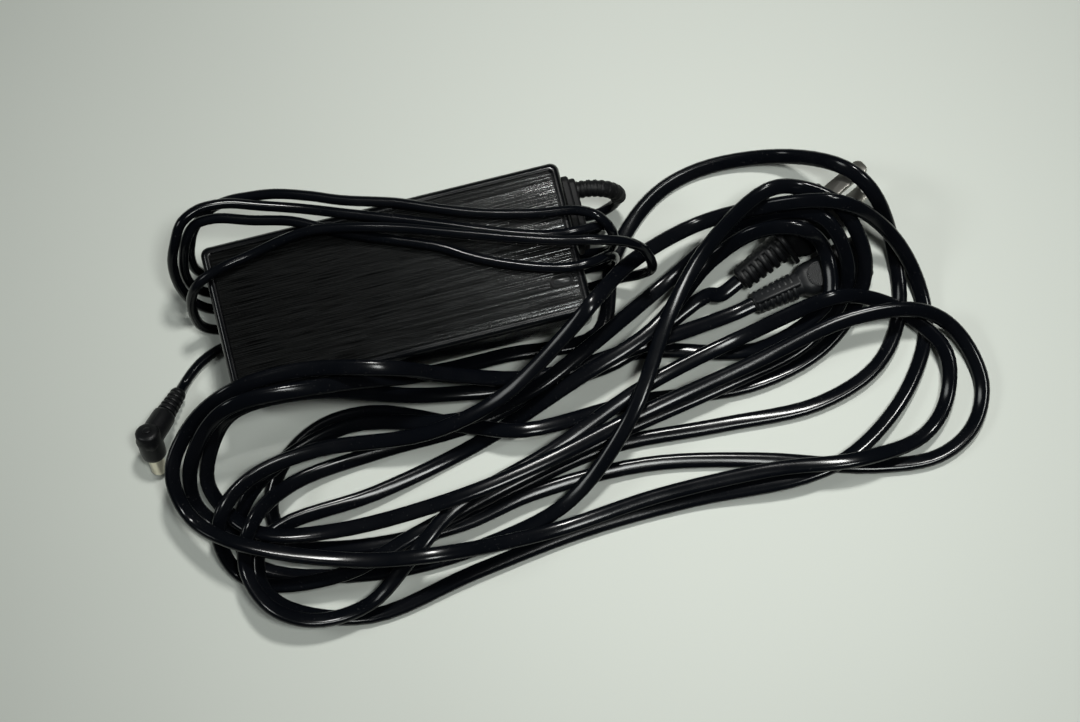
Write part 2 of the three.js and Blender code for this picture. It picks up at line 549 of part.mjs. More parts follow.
// ---- mains cord: one length from the appliance connector round the pile to the mains plug
const acRoute = [
  [119, -34, -13], [111, -35.5, -13], [79, -39, -8.5], [39, -41, -8.5], [8, -34, 4],
  [-9, -29.5, 18], [-40, -22.5, 17.5], [-64, -24, 16.5], [-81.5, -31.5, 5], [-90.5, -44.5, 1.5],
  [-88, -60, -2.5], [-74, -73, 1.5], [-37, -88, -1], [-9, -93, -0.5], [30, -94, -12],
  [70, -91, -13], [110, -92, -10.5], [141, -96, -8.5], [165, -93, -14.5], [176, -83, -15],
  [180, -67, -12.5], [170, -50, -13], [157, -42, -6.5], [145, -40, -1.5], [114, -44, -11],
  [75, -53, -9], [38, -67, -9.5], [0, -79, -5.5], [-16, -90, -4.5], [-36, -103, -12],
  [-56, -104, -10], [-69, -96, -6], [-74, -81, -5], [-68, -67, -1.5], [-52, -56, -12.5],
  [-20, -52, -16.5], [15, -50.5, -17], [53, -41, -17], [77, -40, -17], [116, -49.5, -14.5],
  [139, -43.5, -8], [145, -38, -5.5], [147, -23, -4], [140.5, -15.5, 5], [126, -11.5, 2],
  [108, -16, -9], [82, -35, -5], [52, -45.5, -5.5], [14, -57.5, -17], [-25, -66, -15],
  [-60, -70, -10], [-69, -77, -9], [-70, -89, -9.5], [-63, -98, -12.5], [-37, -107, -17],
  [2, -101, -16.5], [42, -96, -17], [81, -95, -16.5], [121, -97, -13], [140, -93, -13],
  [163, -77, -16], [176, -57, -17], [177, -38, -14], [169, -21, -1.5], [153, -10, 12.5],
  [126, -3.5, 1.5], [105.5, -3, -5], [79.5, -12, 5], [63, -24, 17], [53, -31, 14],
  [25, -46, 0.5], [-2, -51, -6.5], [-42, -47, -9.5], [-65, -51, -7.5], [-77, -60, -5],
  [-81, -70, -9], [-78, -81, -14], [-69, -88, -14], [-41, -91, -9], [-15, -84, -8],
  [24, -74, -12.5], [63, -66, -13], [103, -59, -12.5], [133, -52, -13.5], [149, -40, -10],
  [153, -30, -1.5], [148.5, -14.5, 7], [138.5, -8, 4], [118, -7, -7], [93, -18, -14.5],
  [58, -36, -5.5], [36, -45.5, -4.5], [9, -49, -8.5], [-30, -41, -13.5], [-64, -53, -13],
  [-74, -65, -16.5], [-74, -76, -17], [-66, -84, -17], [-27, -93.5, -17], [13, -92, -16.5],
  [40, -85, -12.5], [67, -63, -2], [90, -30, -1.5], [109, -11, 1], [131, 0.5, 8],
  [142, -0.5, 5.5], [154, -10, 6.5], [159.5, -29, -2.5], [153.5, -43, -13], [138, -55, -16.5],
  [111, -61, -16.5], [71, -57, -16.5], [30.5, -58, -9], [13, -52, -12], [-20, -38, -16.5],
  [-40, -39, -17], [-56, -50, -17], [-62, -64, -17], [-57, -78, -17], [-43.5, -85, -15.5],
  [-20, -86.5, -17], [18, -77, -17], [57, -70, -17], [97, -72, -17], [133, -73, -17],
  [156, -65, -16.5], [168, -50, -17], [172, -27, -14], [167, -8, 4], [160, 2, 5],
  [141, 15, -12], [113, 18, -16.5], [94, 12, -17], [76, -5, -17], [64, -30, -17],
  [31, -30, -15], [2, -31, -5.5], [-35, -29.5, 17.5], [-63, -29, 19.5], [-75.5, -34, 10.5],
  [-85, -46, -0.5], [-85.5, -57, -10], [-75, -69, -13], [-65, -75, -13.5], [-35, -83, -11.5],
  [1, -84, -13], [28, -79.5, -13.5], [68, -79, -16.5], [107, -87, -17], [146, -99, -17],
  [169, -101, -17], [183, -94, -17], [190, -80, -16], [186, -61, -13.5], [174, -51, -6.5],
  [150, -48, -5.5], [111, -55, -8], [72, -62, -9], [33, -71, -4], [-2, -76, -2], [-42, -76, -7],
  [-66, -71, -5.5], [-76.5, -60, -10], [-80, -49, -5], [-72, -35, 6], [-62, -30, 15],
  [-38, -30, 14], [0, -38, -7], [39, -43, -12.5], [67, -42, -13], [104, -27, -13],
  [108.5, -28, -11.5], [116, -25, -11],
];
const acLine = curveThrough(acRoute, 2);
const tailSteps = 2;
const acLast = acLine.length - 1;
const atLink = tailSteps;
const atPlug = acLast - tailSteps;
add("ac_cord_coil", flatTube(...stretch(acLine, atLink, atPlug)), mats.jacket);
add("ac_tail_connector", flatTube(...stretch(acLine, 0, atLink, false, true)), mats.jacket);
add("ac_tail_plug", flatTube(...stretch(acLine, atPlug, acLast, true)), mats.jacket);

// least distance between strands: between the flat sections of the mains cord and the round
// ones of the output cord, taken between points of the sections' middle lines
function leastGap() {
  const cores = [];
  const sample = (line, half, radius, mark) => {
    let run = 0;
    const t = tangents(line);
    for (let i = 0; i + 1 < line.length; i++) {
      const d = line[i].distanceTo(line[i + 1]);
      const n = Math.max(1, Math.ceil(d / 2.5));
      const side = v3(t[i].y, -t[i].x, 0).normalize();
      for (let k = 0; k < n; k++) {
        const p = line[i].clone().lerp(line[i + 1], k / n);
        for (const w of half ? [-half, 0, half] : [0]) {
          cores.push({ p: p.clone().addScaledVector(side, w), radius, mark, s: run + (d * k) / n });
        }
      }
      run += d;
    }
  };
  sample(acLine, (acWide - acThick) / 2, acThick / 2, 0);
  sample(dcLine, 0, dcDia / 2, 1);
  let least = Infinity;
  for (let i = 0; i < cores.length; i++) {
    for (let j = i + 1; j < cores.length; j++) {
      const a = cores[i];
      const b = cores[j];
      if (a.mark === b.mark && Math.abs(a.s - b.s) < 22) continue;
      if (Math.abs(a.p.x - b.p.x) > 5 || Math.abs(a.p.y - b.p.y) > 5) continue;
      least = Math.min(least, a.p.distanceTo(b.p) - a.radius - b.radius);
    }
  }
  return least;
}
console.log("least gap between strands, mm:", leastGap().toFixed(2));
console.log("mains cord length, mm:", lineLength(acLine).toFixed(0));
console.log("output cord length, mm:", lineLength(dcLine).toFixed(0));

// ---- mains plug: chunky ribs, a flange, a body turned about its axis, two flat blades
const plugEnd = v3(...acRoute[acRoute.length - 1]);
const plugAxis = v3(0.9, 0.42, 0.13).normalize();
const plugRoll = (60 * Math.PI) / 180;
const level = v3(plugAxis.y, -plugAxis.x, 0).normalize();
const plugUp = new THREE.Vector3().crossVectors(level, plugAxis)
  .multiplyScalar(Math.cos(plugRoll)).addScaledVector(level, Math.sin(plugRoll));
const bladeSpacing = 12.7;
const bladeWide = 6.3;
const bladeThick = 1.5;
const plugFace = 43;
const bladeLong = 16;
const oval = (s, a, b, r) => [s, roundedRect(a, b, r, 3)];
const plugSleeve = along(plugEnd, plugAxis, plugUp, [
  oval(fit, 4, 3.6, 3.4),
  ...ribStations(1, 19, 6, [4.6, 5.6], 1.3).map(([s, r]) => oval(s, r, r * 0.92, r * 0.9)),
  oval(19.5, 5.5, 5, 4.5),
  oval(21.5, 5.5, 5, 4.5),
]);
const plugFlange = along(plugEnd, plugAxis, plugUp, [
  oval(19.3, 9, 6, 4),
  oval(21.2, 9, 6, 4),
]);
const plugBlock = along(plugEnd, plugAxis, plugUp, [
  oval(20.8, 6.5, 5, 4),
  oval(24, 9, 5.8, 4.2),
  oval(28, 10, 6.2, 4.5),
  oval(plugFace - 1, 10, 6.2, 4.5),
  oval(plugFace, 9.4, 5.6, 4),
]);
const bladeRoot = plugFace - 6;
const onBlade = (k, shift) => plugEnd.clone().addScaledVector(
  new THREE.Vector3().crossVectors(plugUp, plugAxis), (k * bladeSpacing) / 2 + shift);
const bladeSlot = (k) => along(onBlade(k, 0), plugAxis, plugUp, [
  oval(bladeRoot - fit, bladeThick / 2 + fit, bladeWide / 2 + fit, 0.3),
  oval(plugFace + 1, bladeThick / 2 + fit, bladeWide / 2 + fit, 0.3),
]);
add("mains_plug_body", cut(join(plugSleeve, plugFlange, plugBlock), bladeSlot(-1), bladeSlot(1)),
  mats.rubber);
for (const k of [-1, 1]) {
  add(k < 0 ? "mains_blade_1" : "mains_blade_2", along(onBlade(k, 0), plugAxis, plugUp, [
    oval(bladeRoot, bladeThick / 2, bladeWide / 2, 0.2),
    oval(plugFace + bladeLong - 2, bladeThick / 2, bladeWide / 2, 0.2),
    oval(plugFace + bladeLong, bladeThick / 2 - 0.2, bladeWide / 2 - 1.6, 0.2),
  ]), mats.plated);
}

// ---- appliance connector: slotted sleeve, a grip pad, a nose with two round contacts
const linkEnd = v3(...acRoute[0]);
const linkAxis = v3(0.98, 0.175, 0.005).normalize();
const skyward = v3(0, 0, 1);
const linkFace = 43;
const linkSleeve = along(linkEnd, linkAxis, skyward, [
  oval(fit, 3.6, 3, 2.8),
  ...ribStations(1, 16.5, 7, [4.1, 4.9], 0.9).map(([s, r]) => oval(s, r, r * 0.82, r * 0.8)),
  oval(17, 4.4, 3.8, 3.5),
  oval(19, 4.6, 4, 3.5),
]);
const linkBlock = along(linkEnd, linkAxis, skyward, [
  oval(18, 4.8, 4, 3.6),
  oval(20.5, 6.2, 4.5, 4),
  oval(30, 6.6, 4.7, 4.2),
  oval(32, 7.8, 4.2, 4.1),
  oval(linkFace, 7.8, 4.2, 4.1),
]);
const padAt = linkEnd.clone().addScaledVector(linkAxis, 25).add(v3(0, 0, 4.2));
const gripPad = along(padAt, skyward, linkAxis, [
  [-1, circle(4.4, 16)],
  [0.6, circle(4.4, 16)],
  [0.9, circle(4, 16)],
]);
const contactSpacing = 8.6;
const linkSide = new THREE.Vector3().crossVectors(skyward, linkAxis).normalize();
const contactAt = (k) => linkEnd.clone().addScaledVector(linkSide, (k * contactSpacing) / 2);
const contactBore = (k) => along(contactAt(k), linkAxis, skyward, [
  sleeveRing(linkFace - 11, 1.7, 12),
  sleeveRing(linkFace + 1, 1.7, 12),
]);
add("connector_body", cut(join(linkSleeve, linkBlock, gripPad), contactBore(-1), contactBore(1)),
  mats.rubber);
for (const k of [-1, 1]) {
  const tube = (r, s0, s1) => along(contactAt(k), linkAxis, skyward,
    [sleeveRing(s0, r, 12), sleeveRing(s1, r, 12)]);
  add(k < 0 ? "connector_contact_1" : "connector_contact_2",
    cut(tube(1.4, linkFace - 10.7, linkFace - 0.5), tube(0.9, linkFace - 9, linkFace + 1)),
    mats.plated);
}

export default root;
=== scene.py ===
import json
import math
import bpy
import bmesh
from mathutils import Matrix, Vector


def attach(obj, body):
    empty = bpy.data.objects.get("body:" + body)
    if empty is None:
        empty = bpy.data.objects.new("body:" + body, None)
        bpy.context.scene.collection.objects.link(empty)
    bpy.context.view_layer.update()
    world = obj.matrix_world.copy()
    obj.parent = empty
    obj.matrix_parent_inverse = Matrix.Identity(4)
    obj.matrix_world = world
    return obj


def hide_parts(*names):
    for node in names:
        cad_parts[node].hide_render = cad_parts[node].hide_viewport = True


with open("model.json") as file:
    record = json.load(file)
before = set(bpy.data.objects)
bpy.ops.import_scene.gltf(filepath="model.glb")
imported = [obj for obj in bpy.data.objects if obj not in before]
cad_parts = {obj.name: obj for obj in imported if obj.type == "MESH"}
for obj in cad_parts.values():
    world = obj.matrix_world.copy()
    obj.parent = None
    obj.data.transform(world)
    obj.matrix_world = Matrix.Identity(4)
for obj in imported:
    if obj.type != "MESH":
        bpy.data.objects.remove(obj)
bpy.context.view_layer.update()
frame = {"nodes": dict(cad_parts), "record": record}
print("frame loaded:", len(frame["nodes"]), "CAD nodes")

# camera, lamps and floor, set out along the picture's own directions, in metres
view = {
    "lens": 85.0,
    "sensor": 36.0,
    "elevation": 82.0,
    "turn": -0.246,                      # the picture is turned this much about Z, radians
    "distance": 0.8959,
    "target": (0.04166, -0.03463, -0.017),
    "floorHeight": -0.01854,
    "floorHalf": 3.0,
    "roomColour": (0.93, 0.97, 0.95, 1.0),
    "roomStrength": 0.03,
}
# each lamp: its place and its aim from the target, size, spread in degrees, watts, colour
lamps = {
    "key": ((0.09, 0.575, 1.13), (0.06, -0.05, 0.0), 0.16, 46.0, 0.64, (1.0, 1.0, 0.965)),
    "side": ((-0.95, 0.10, 0.80), (0.06, 0.0, 0.0), 0.36, 40.0, 0.17, (0.96, 1.0, 0.98)),
    "overhead": ((0.34, -0.10, 1.7), (0.12, -0.06, 0.0), 0.32, 50.0, 0.86, (0.97, 1.0, 0.97)),
}


def fromPicture(x, y, z):
    return Matrix.Rotation(view["turn"], 3, "Z") @ Vector((x, y, z))


def linked(name, data):
    obj = bpy.data.objects.new(name, data)
    bpy.context.scene.collection.objects.link(obj)
    return obj


def makeCamera():
    data = bpy.data.cameras.new("camera")
    data.lens = view["lens"]
    data.sensor_width = view["sensor"]
    data.clip_start = 0.05
    cam = linked("camera", data)
    tilt = math.radians(90.0 - view["elevation"])
    back = fromPicture(0.0, -math.sin(tilt), math.cos(tilt))
    cam.location = Vector(view["target"]) + back * view["distance"]
    cam.rotation_euler = (tilt, 0.0, view["turn"])
    bpy.context.scene.camera = cam


def makeLamps():
    target = Vector(view["target"])
    for name, (place, aim, size, spread, watts, colour) in lamps.items():
        data = bpy.data.lights.new(name, "AREA")
        data.shape = "DISK"
        data.size = size
        data.energy = watts
        data.color = colour
        data.spread = math.radians(spread)
        obj = linked(name, data)
        obj.location = target + fromPicture(*place)
        toAim = target + fromPicture(*aim) - obj.location
        obj.rotation_euler = toAim.to_track_quat("-Z", "Y").to_euler()
    world = bpy.data.worlds.new("softRoom")
    bpy.context.scene.world = world
    world.use_nodes = True
    room = world.node_tree.nodes["Background"]
    room.inputs["Color"].default_value = view["roomColour"]
    room.inputs["Strength"].default_value = view["roomStrength"]


makeCamera()
makeLamps()
bpy.context.scene.view_settings.view_transform = "Standard"
print("camera and lamps placed")


# shader helpers: an output is linked to the socket, and a number or a colour is set on it
def feed(tree, socket, value):
    if isinstance(value, bpy.types.NodeSocket):
        tree.links.new(value, socket)
    else:
        socket.default_value = value


def newNode(tree, kind, values):
    node = tree.nodes.new("ShaderNode" + kind)
    for label, value in values.items():
        feed(tree, node.inputs[label], value)
    return node


def combined(tree, operation, *values):
    result = values[0]
    for value in values[1:]:
        node = newNode(tree, "Math", {0: result, 1: value})
        node.operation = operation
        result = node.outputs[0]
    return result


def addNoise(tree, vector, scale, detail=4.0, rough=0.55):
    values = {"Vector": vector, "Scale": scale, "Detail": detail, "Roughness": rough}
    return newNode(tree, "TexNoise", values).outputs["Fac"]


def addRange(tree, value, low, high, toLow=0.0, toHigh=1.0):
    values = {"Value": value, "From Min": low, "From Max": high, "To Min": toLow, "To Max": toHigh}
    return newNode(tree, "MapRange", values).outputs["Result"]


def addStretch(tree, vector, scale, turn=(0.0, 0.0, 0.0)):
    return newNode(tree, "Mapping", {"Vector": vector, "Scale": scale, "Rotation": turn}).outputs["Vector"]


# shared groups: a place and named numbers go in, and values that vary over the surface come out
def newGroup(name, numbers, results):
    tree = bpy.data.node_groups.new(name, "ShaderNodeTree")
    tree.interface.new_socket("Vector", in_out="INPUT", socket_type="NodeSocketVector")
    for label, value in numbers.items():
        socket = tree.interface.new_socket(label, in_out="INPUT", socket_type="NodeSocketFloat")
        socket.default_value = value
    for label in results:
        tree.interface.new_socket(label, in_out="OUTPUT", socket_type="NodeSocketFloat")
    given = tree.nodes.new("NodeGroupInput")
    return tree, given.outputs, tree.nodes.new("NodeGroupOutput").inputs


def makeWearGroup():
    tree, given, out = newGroup("handlingWear", {"Dust": 0.3, "Scuffs": 0.3}, ("Dust", "Scuffs", "Smudge"))
    place = given["Vector"]
    specks = addRange(tree, addNoise(tree, place, 900.0, 2.0), 0.66, 0.78)
    cloud = addRange(tree, addNoise(tree, place, 45.0, 3.0), 0.42, 0.7)
    lines = addNoise(tree, addStretch(tree, place, (60.0, 900.0, 300.0), (0.3, 0.2, 0.5)), 1.0, 2.0)
    scratches = addRange(tree, lines, 0.62, 0.7)
    where = addRange(tree, addNoise(tree, place, 60.0, 2.0), 0.5, 0.66)
    feed(tree, out["Dust"], combined(tree, "MULTIPLY", specks, cloud, given["Dust"]))
    feed(tree, out["Scuffs"], combined(tree, "MULTIPLY", scratches, where, given["Scuffs"]))
    feed(tree, out["Smudge"], addNoise(tree, place, 28.0, 3.0))
    return tree


def makeGrainGroup():
    tree, given, out = newGroup("mouldGrain", {"Scale": 2500.0}, ("Height",))
    fine = addNoise(tree, given["Vector"], given["Scale"], 3.0)
    broad = addNoise(tree, given["Vector"], 350.0, 2.0)
    feed(tree, out["Height"], combined(tree, "ADD", fine, combined(tree, "MULTIPLY", broad, 0.5)))
    return tree


def makeBrushGroup():
    tree, given, out = newGroup("brushedLines", {}, ("Lines", "Height"))
    longLines = addNoise(tree, addStretch(tree, given["Vector"], (5.0, 3600.0, 1.0)), 1.0, 1.0, 0.5)
    shortLines = addNoise(tree, addStretch(tree, given["Vector"], (70.0, 4600.0, 1.0)), 1.0, 1.5, 0.5)
    both = combined(tree, "ADD", combined(tree, "MULTIPLY", longLines, 0.4),
                    combined(tree, "MULTIPLY", shortLines, 0.6))
    feed(tree, out["Lines"], addRange(tree, both, 0.40, 0.60))
    feed(tree, out["Height"], longLines)
    return tree


handlingWear = makeWearGroup()
mouldGrain = makeGrainGroup()
brushedLines = makeBrushGroup()


# materials: each finish is built from its look in the tables below
class Finish:
    def __init__(self, name, colour, roughness, metallic=0.0):
        self.material = bpy.data.materials.new(name)
        self.material.use_nodes = True
        self.tree = self.material.node_tree
        self.shader = self.tree.nodes["Principled BSDF"]
        coords = self.tree.nodes.new("ShaderNodeTexCoord").outputs
        self.place = coords["Object"]
        self.uv = coords["UV"]
        self.set("Base Color", (*colour, 1.0))
        self.set("Roughness", roughness)
        self.set("Metallic", metallic)

    def set(self, label, value):
        feed(self.tree, self.shader.inputs[label], value)

    def group(self, tree, **values):
        node = self.tree.nodes.new("ShaderNodeGroup")
        node.node_tree = tree
        for label, value in {"Vector": self.place, **values}.items():
            feed(self.tree, node.inputs[label], value)
        return node.outputs

    def noise(self, scale, detail=3.0):
        return addNoise(self.tree, self.place, scale, detail)

    def streaks(self, place, scale):
        return addNoise(self.tree, addStretch(self.tree, place, scale), 1.0, 3.0)

    def range(self, value, *limits):
        return addRange(self.tree, value, *limits)

    def mix(self, factor, a, b):
        node = self.tree.nodes.new("ShaderNodeMix")
        node.data_type = "RGBA"
        feed(self.tree, node.inputs["Factor"], factor)
        for socket, value in ((node.inputs["A"], a), (node.inputs["B"], b)):
            feed(self.tree, socket, (*value, 1.0) if isinstance(value, tuple) else value)
        return node.outputs["Result"]

    def bump(self, height, strength, distance):
        values = {"Strength": strength, "Distance": distance, "Height": height}
        self.set("Normal", newNode(self.tree, "Bump", values).outputs["Normal"])


# moulded finishes: colour, worn colour, roughness, grain, dust, specular
mouldedLooks = {
    "housingPlastic": ((0.0022, 0.0026, 0.0034), (0.012, 0.013, 0.014), 0.17, 0.10, 0.05, 0.26),
    "mouldedRubber": ((0.0040, 0.0043, 0.0050), (0.020, 0.021, 0.022), 0.42, 0.18, 0.2, 0.25),
    "collarRubber": ((0.0060, 0.0063, 0.0070), (0.020, 0.021, 0.022), 0.50, 0.2, 0.2, 0.15),
    "connectorPlastic": ((0.0060, 0.0068, 0.0080), (0.030, 0.032, 0.035), 0.42, 0.15, 0.15, 0.3),
    "inletPlastic": ((0.0070, 0.0074, 0.0080), (0.03, 0.03, 0.032), 0.42, 0.2, 0.15, 0.4),
}
panelLook = {"dark": (0.0008, 0.0011, 0.0013), "light": (0.068, 0.070, 0.0705),
             "scuffed": (0.16, 0.16, 0.17), "metallic": 0.9, "smooth": 0.12, "rough": 0.15,
             "lineDepth": 0.00006}
jacketLook = {"colour": (0.0022, 0.0028, 0.0042), "pale": (0.0042, 0.0047, 0.0062), "smooth": 0.13,
              "rough": 0.18, "specular": 0.18, "drawLines": 0.15, "dust": 0.10}
windowLook = {"dark": (0.020, 0.021, 0.022), "pale": (0.034, 0.035, 0.036), "specular": 0.2}
floorLook = {"dark": (0.585, 0.615, 0.57), "pale": (0.62, 0.65, 0.605)}
# metals: light colour, dark colour, roughness
metalLooks = {
    "platedMetal": ((0.50, 0.49, 0.46), (0.34, 0.32, 0.28), 0.28),
    "warmMetal": ((0.86, 0.80, 0.66), (0.72, 0.65, 0.50), 0.26),
    "bareMetal": ((0.62, 0.63, 0.65), (0.45, 0.46, 0.48), 0.35),
    "copperWire": ((0.66, 0.30, 0.12), (0.40, 0.16, 0.07), 0.35),
}
# inner pieces: colour, second colour, roughness, size of the spots
insideLooks = {
    "laminate": ((0.020, 0.110, 0.050), (0.012, 0.070, 0.034), 0.45, 220.0),
    "ferrite": ((0.030, 0.030, 0.032), (0.055, 0.054, 0.052), 0.75, 900.0),
    "case": ((0.022, 0.022, 0.025), (0.034, 0.034, 0.038), 0.48, 600.0),
    "film": ((0.62, 0.42, 0.06), (0.52, 0.33, 0.04), 0.35, 120.0),
    "sheet": ((0.74, 0.70, 0.60), (0.66, 0.62, 0.52), 0.60, 300.0),
    "cream": ((0.70, 0.64, 0.50), (0.60, 0.53, 0.40), 0.42, 500.0),
}
dustColours = {"outside": (0.30, 0.29, 0.27), "cord": (0.28, 0.27, 0.25), "inside": (0.35, 0.33, 0.30)}


def mouldedFinish(name):
    colour, worn, roughness, grain, dust, specular = mouldedLooks[name]
    f = Finish(name, colour, roughness)
    wear = f.group(handlingWear, Dust=dust, Scuffs=0.2)
    base = f.mix(wear["Scuffs"], colour, worn)
    f.set("Base Color", f.mix(wear["Dust"], base, dustColours["outside"]))
    f.set("Roughness", f.range(wear["Smudge"], 0.3, 0.7, roughness - 0.06, roughness + 0.1))
    f.set("Specular IOR Level", specular)
    f.bump(f.group(mouldGrain, Scale=2600.0)["Height"], grain, 0.00012)
    return f.material


def panelFinish():
    look = panelLook
    f = Finish("brushedPanel", look["dark"], look["smooth"], look["metallic"])
    brush = f.group(brushedLines)
    wear = f.group(handlingWear, Dust=0.3, Scuffs=0.25)
    base = f.mix(brush["Lines"], look["dark"], look["light"])
    base = f.mix(wear["Scuffs"], base, look["scuffed"])
    f.set("Base Color", f.mix(wear["Dust"], base, dustColours["outside"]))
    f.set("Roughness", f.range(brush["Lines"], 0.0, 1.0, look["rough"], look["smooth"]))
    f.bump(brush["Height"], 1.0, look["lineDepth"])
    return f.material


def jacketFinish():
    # UV: u round the cord, v along it in metres
    look = jacketLook
    f = Finish("cordJacket", look["colour"], look["smooth"])
    wear = f.group(handlingWear, Dust=look["dust"], Scuffs=0.2)
    patches = f.streaks(f.uv, (1.5, 55.0, 1.0))
    base = f.mix(f.range(patches, 0.45, 0.75), look["colour"], look["pale"])
    f.set("Base Color", f.mix(wear["Dust"], base, dustColours["cord"]))
    f.set("Roughness", f.range(patches, 0.35, 0.7, look["smooth"], look["rough"]))
    f.set("Specular IOR Level", look["specular"])
    f.bump(f.streaks(f.uv, (42.0, 9.0, 1.0)), look["drawLines"], 0.00006)
    return f.material


def metalFinish(name):
    light, dark, roughness = metalLooks[name]
    f = Finish(name, light, roughness, 1.0)
    wear = f.group(handlingWear, Dust=0.15, Scuffs=0.6)
    base = f.mix(f.range(wear["Smudge"], 0.35, 0.7), light, dark)
    f.set("Base Color", f.mix(wear["Scuffs"], base, dark))
    f.set("Roughness", f.range(wear["Smudge"], 0.3, 0.7, roughness, roughness + 0.14))
    f.bump(f.streaks(f.place, (400.0, 2400.0, 2400.0)), 0.12, 0.00005)
    return f.material


def insideFinish(name):
    colour, second, roughness, scale = insideLooks[name]
    f = Finish(name + "Inside", colour, roughness)
    spots = f.noise(scale, 4.0)
    wear = f.group(handlingWear, Dust=0.2, Scuffs=0.1)
    base = f.mix(f.range(spots, 0.4, 0.62), colour, second)
    f.set("Base Color", f.mix(wear["Dust"], base, dustColours["inside"]))
    f.set("Roughness", f.range(spots, 0.3, 0.7, roughness - 0.05, roughness + 0.08))
    f.bump(spots, 0.15, 0.00008)
    return f.material


def cloudedFinish(name, look, scale, colourRange, roughRange):
    f = Finish(name, look["dark"], roughRange[2])
    haze = f.noise(scale)
    f.set("Base Color", f.mix(f.range(haze, *colourRange), look["dark"], look["pale"]))
    f.set("Roughness", f.range(haze, *roughRange))
    f.set("Specular IOR Level", look.get("specular", 0.5))
    return f.material


housingPlastic, mouldedRubber, collarRubber, connectorPlastic, inletPlastic = map(mouldedFinish, mouldedLooks)
platedMetal, warmMetal, bareMetal, copperWire = map(metalFinish, metalLooks)
inside = {name: insideFinish(name) for name in insideLooks}
brushedPanel = panelFinish()
cordJacket = jacketFinish()
windowPlastic = cloudedFinish("windowPlastic", windowLook, 500.0, (0.4, 0.7), (0.3, 0.7, 0.2, 0.3))
paleFloor = cloudedFinish("paleFloor", floorLook, 4.0, (0.3, 0.7), (0.3, 0.7, 0.5, 0.6))
print("materials made:", len(bpy.data.materials))

# mesh making, sizes given in millimetres and kept in metres;
# edges turned further than the crease angle stay sharp
crease = math.radians(32.0)


def mm(*values):
    return Vector([v * 0.001 for v in values])


def newObject(name, verts, faces, material, uvs=None, sharp=crease):
    mesh = bpy.data.meshes.new(name)
    mesh.from_pydata([tuple(v) for v in verts], [], faces)
    if uvs is not None:
        layer = mesh.uv_layers.new(name="UVMap")
        for loop, uv in zip(layer.data, uvs):
            loop.uv = uv
    mesh.materials.append(material)
    mesh.validate()
    bm = bmesh.new()
    bm.from_mesh(mesh)
    bmesh.ops.recalc_face_normals(bm, faces=bm.faces)
    bm.to_mesh(mesh)
    bm.free()
    mesh.shade_smooth()
    mesh.set_sharp_from_angle(angle=sharp)
    return linked(name, mesh)


def ringFaces(rings, sides):
    # the walls between rings of equal point count, then the two end caps
    last = (rings - 1) * sides
    walls = [(i + k, i + (k + 1) % sides, i + sides + (k + 1) % sides, i + sides + k)
             for i in range(0, last, sides) for k in range(sides)]
    return walls + [tuple(reversed(range(sides))), tuple(range(last, last + sides))]


def loft(name, rings, material):
    verts = [p for ring in rings for p in ring]
    return newObject(name, verts, ringFaces(len(rings), len(rings[0])), material)


def roundedOutline(halfA, halfB, radius, steps):
    r = min(radius, halfA, halfB)
    out = []
    for sa, sb, start in ((1, 1, 0), (-1, 1, 90), (-1, -1, 180), (1, -1, 270)):
        for k in range(steps + 1):
            t = math.radians(start + 90.0 * k / steps)
            out.append((sa * (halfA - r) + r * math.cos(t), sb * (halfB - r) + r * math.sin(t)))
    return out


def axisFrame(axis, up):
    t = Vector(axis).normalized()
    u = (Vector(up) - t * Vector(up).dot(t)).normalized()
    return t, u, u.cross(t)


def easedStations(keys, between):
    # more stations between the keys, on a smooth curve; two keys at one distance make a step
    out = []
    for i, (a, b) in enumerate(zip(keys, keys[1:])):
        p, q = keys[max(i - 1, 0)], keys[min(i + 2, len(keys) - 1)]
        out.append(a)
        span = b[0] - a[0]
        if span < 0.35:
            continue
        p = a if a[0] - p[0] < 1e-6 else p
        q = b if q[0] - b[0] < 1e-6 else q
        for k in range(1, between):
            t = k / between
            row = [a[0] + span * t]
            for va, vb, vp, vq in zip(a[1:], b[1:], p[1:], q[1:]):
                ma = (vb - vp) / (b[0] - p[0]) * span
                mb = (vq - va) / (q[0] - a[0]) * span
                ma = ma if (vb - va) * ma > 0 else 0.0
                mb = mb if (vb - va) * mb > 0 else 0.0
                row.append((2 * t**3 - 3 * t**2 + 1) * va + (t**3 - 2 * t**2 + t) * ma
                           + (-2 * t**3 + 3 * t**2) * vb + (t**3 - t**2) * mb)
            out.append(tuple(row))
    return out + [keys[-1]]


def loftAlong(name, start, axis, up, keys, material, between, steps):
    # keys: distance along the axis, half width, half height, corner radius, all in millimetres
    t, u, w = axisFrame(axis, up)
    rings = []
    for s, a, b, r in easedStations(keys, between):
        rings.append([start + t * (s * 0.001) + w * (x * 0.001) + u * (y * 0.001)
                      for x, y in roundedOutline(a, b, r, steps)])
    return loft(name, rings, material)


def roundLoft(name, start, axis, up, rows, material, between=1, steps=6):
    return loftAlong(name, start, axis, up, [(s, r, r, r) for s, r in rows], material, between, steps)


def plateLoft(name, at, levels, material):
    # levels: height, half length, half width, corner radius
    rings = [[mm(at[0] + a, at[1] + b, z) for a, b in roundedOutline(hx, hy, r, 8)]
             for z, hx, hy, r in levels]
    return loft(name, rings, material)


def insetLevels(halfA, halfB, rows, start=0.0):
    # rows: height or distance from the start, inset from both halves, corner radius
    return [(start + z, halfA - inset, halfB - inset, r) for z, inset, r in rows]


def blockX(name, x0, x1, at, half, radius, material, steps=8):
    # a bar along X round the point at (y, z)
    keys = [(s, *half, radius) for s in (0.0, x1 - x0)]
    return loftAlong(name, mm(x0, *at), (1, 0, 0), (0, 0, 1), keys, material, 1, steps)


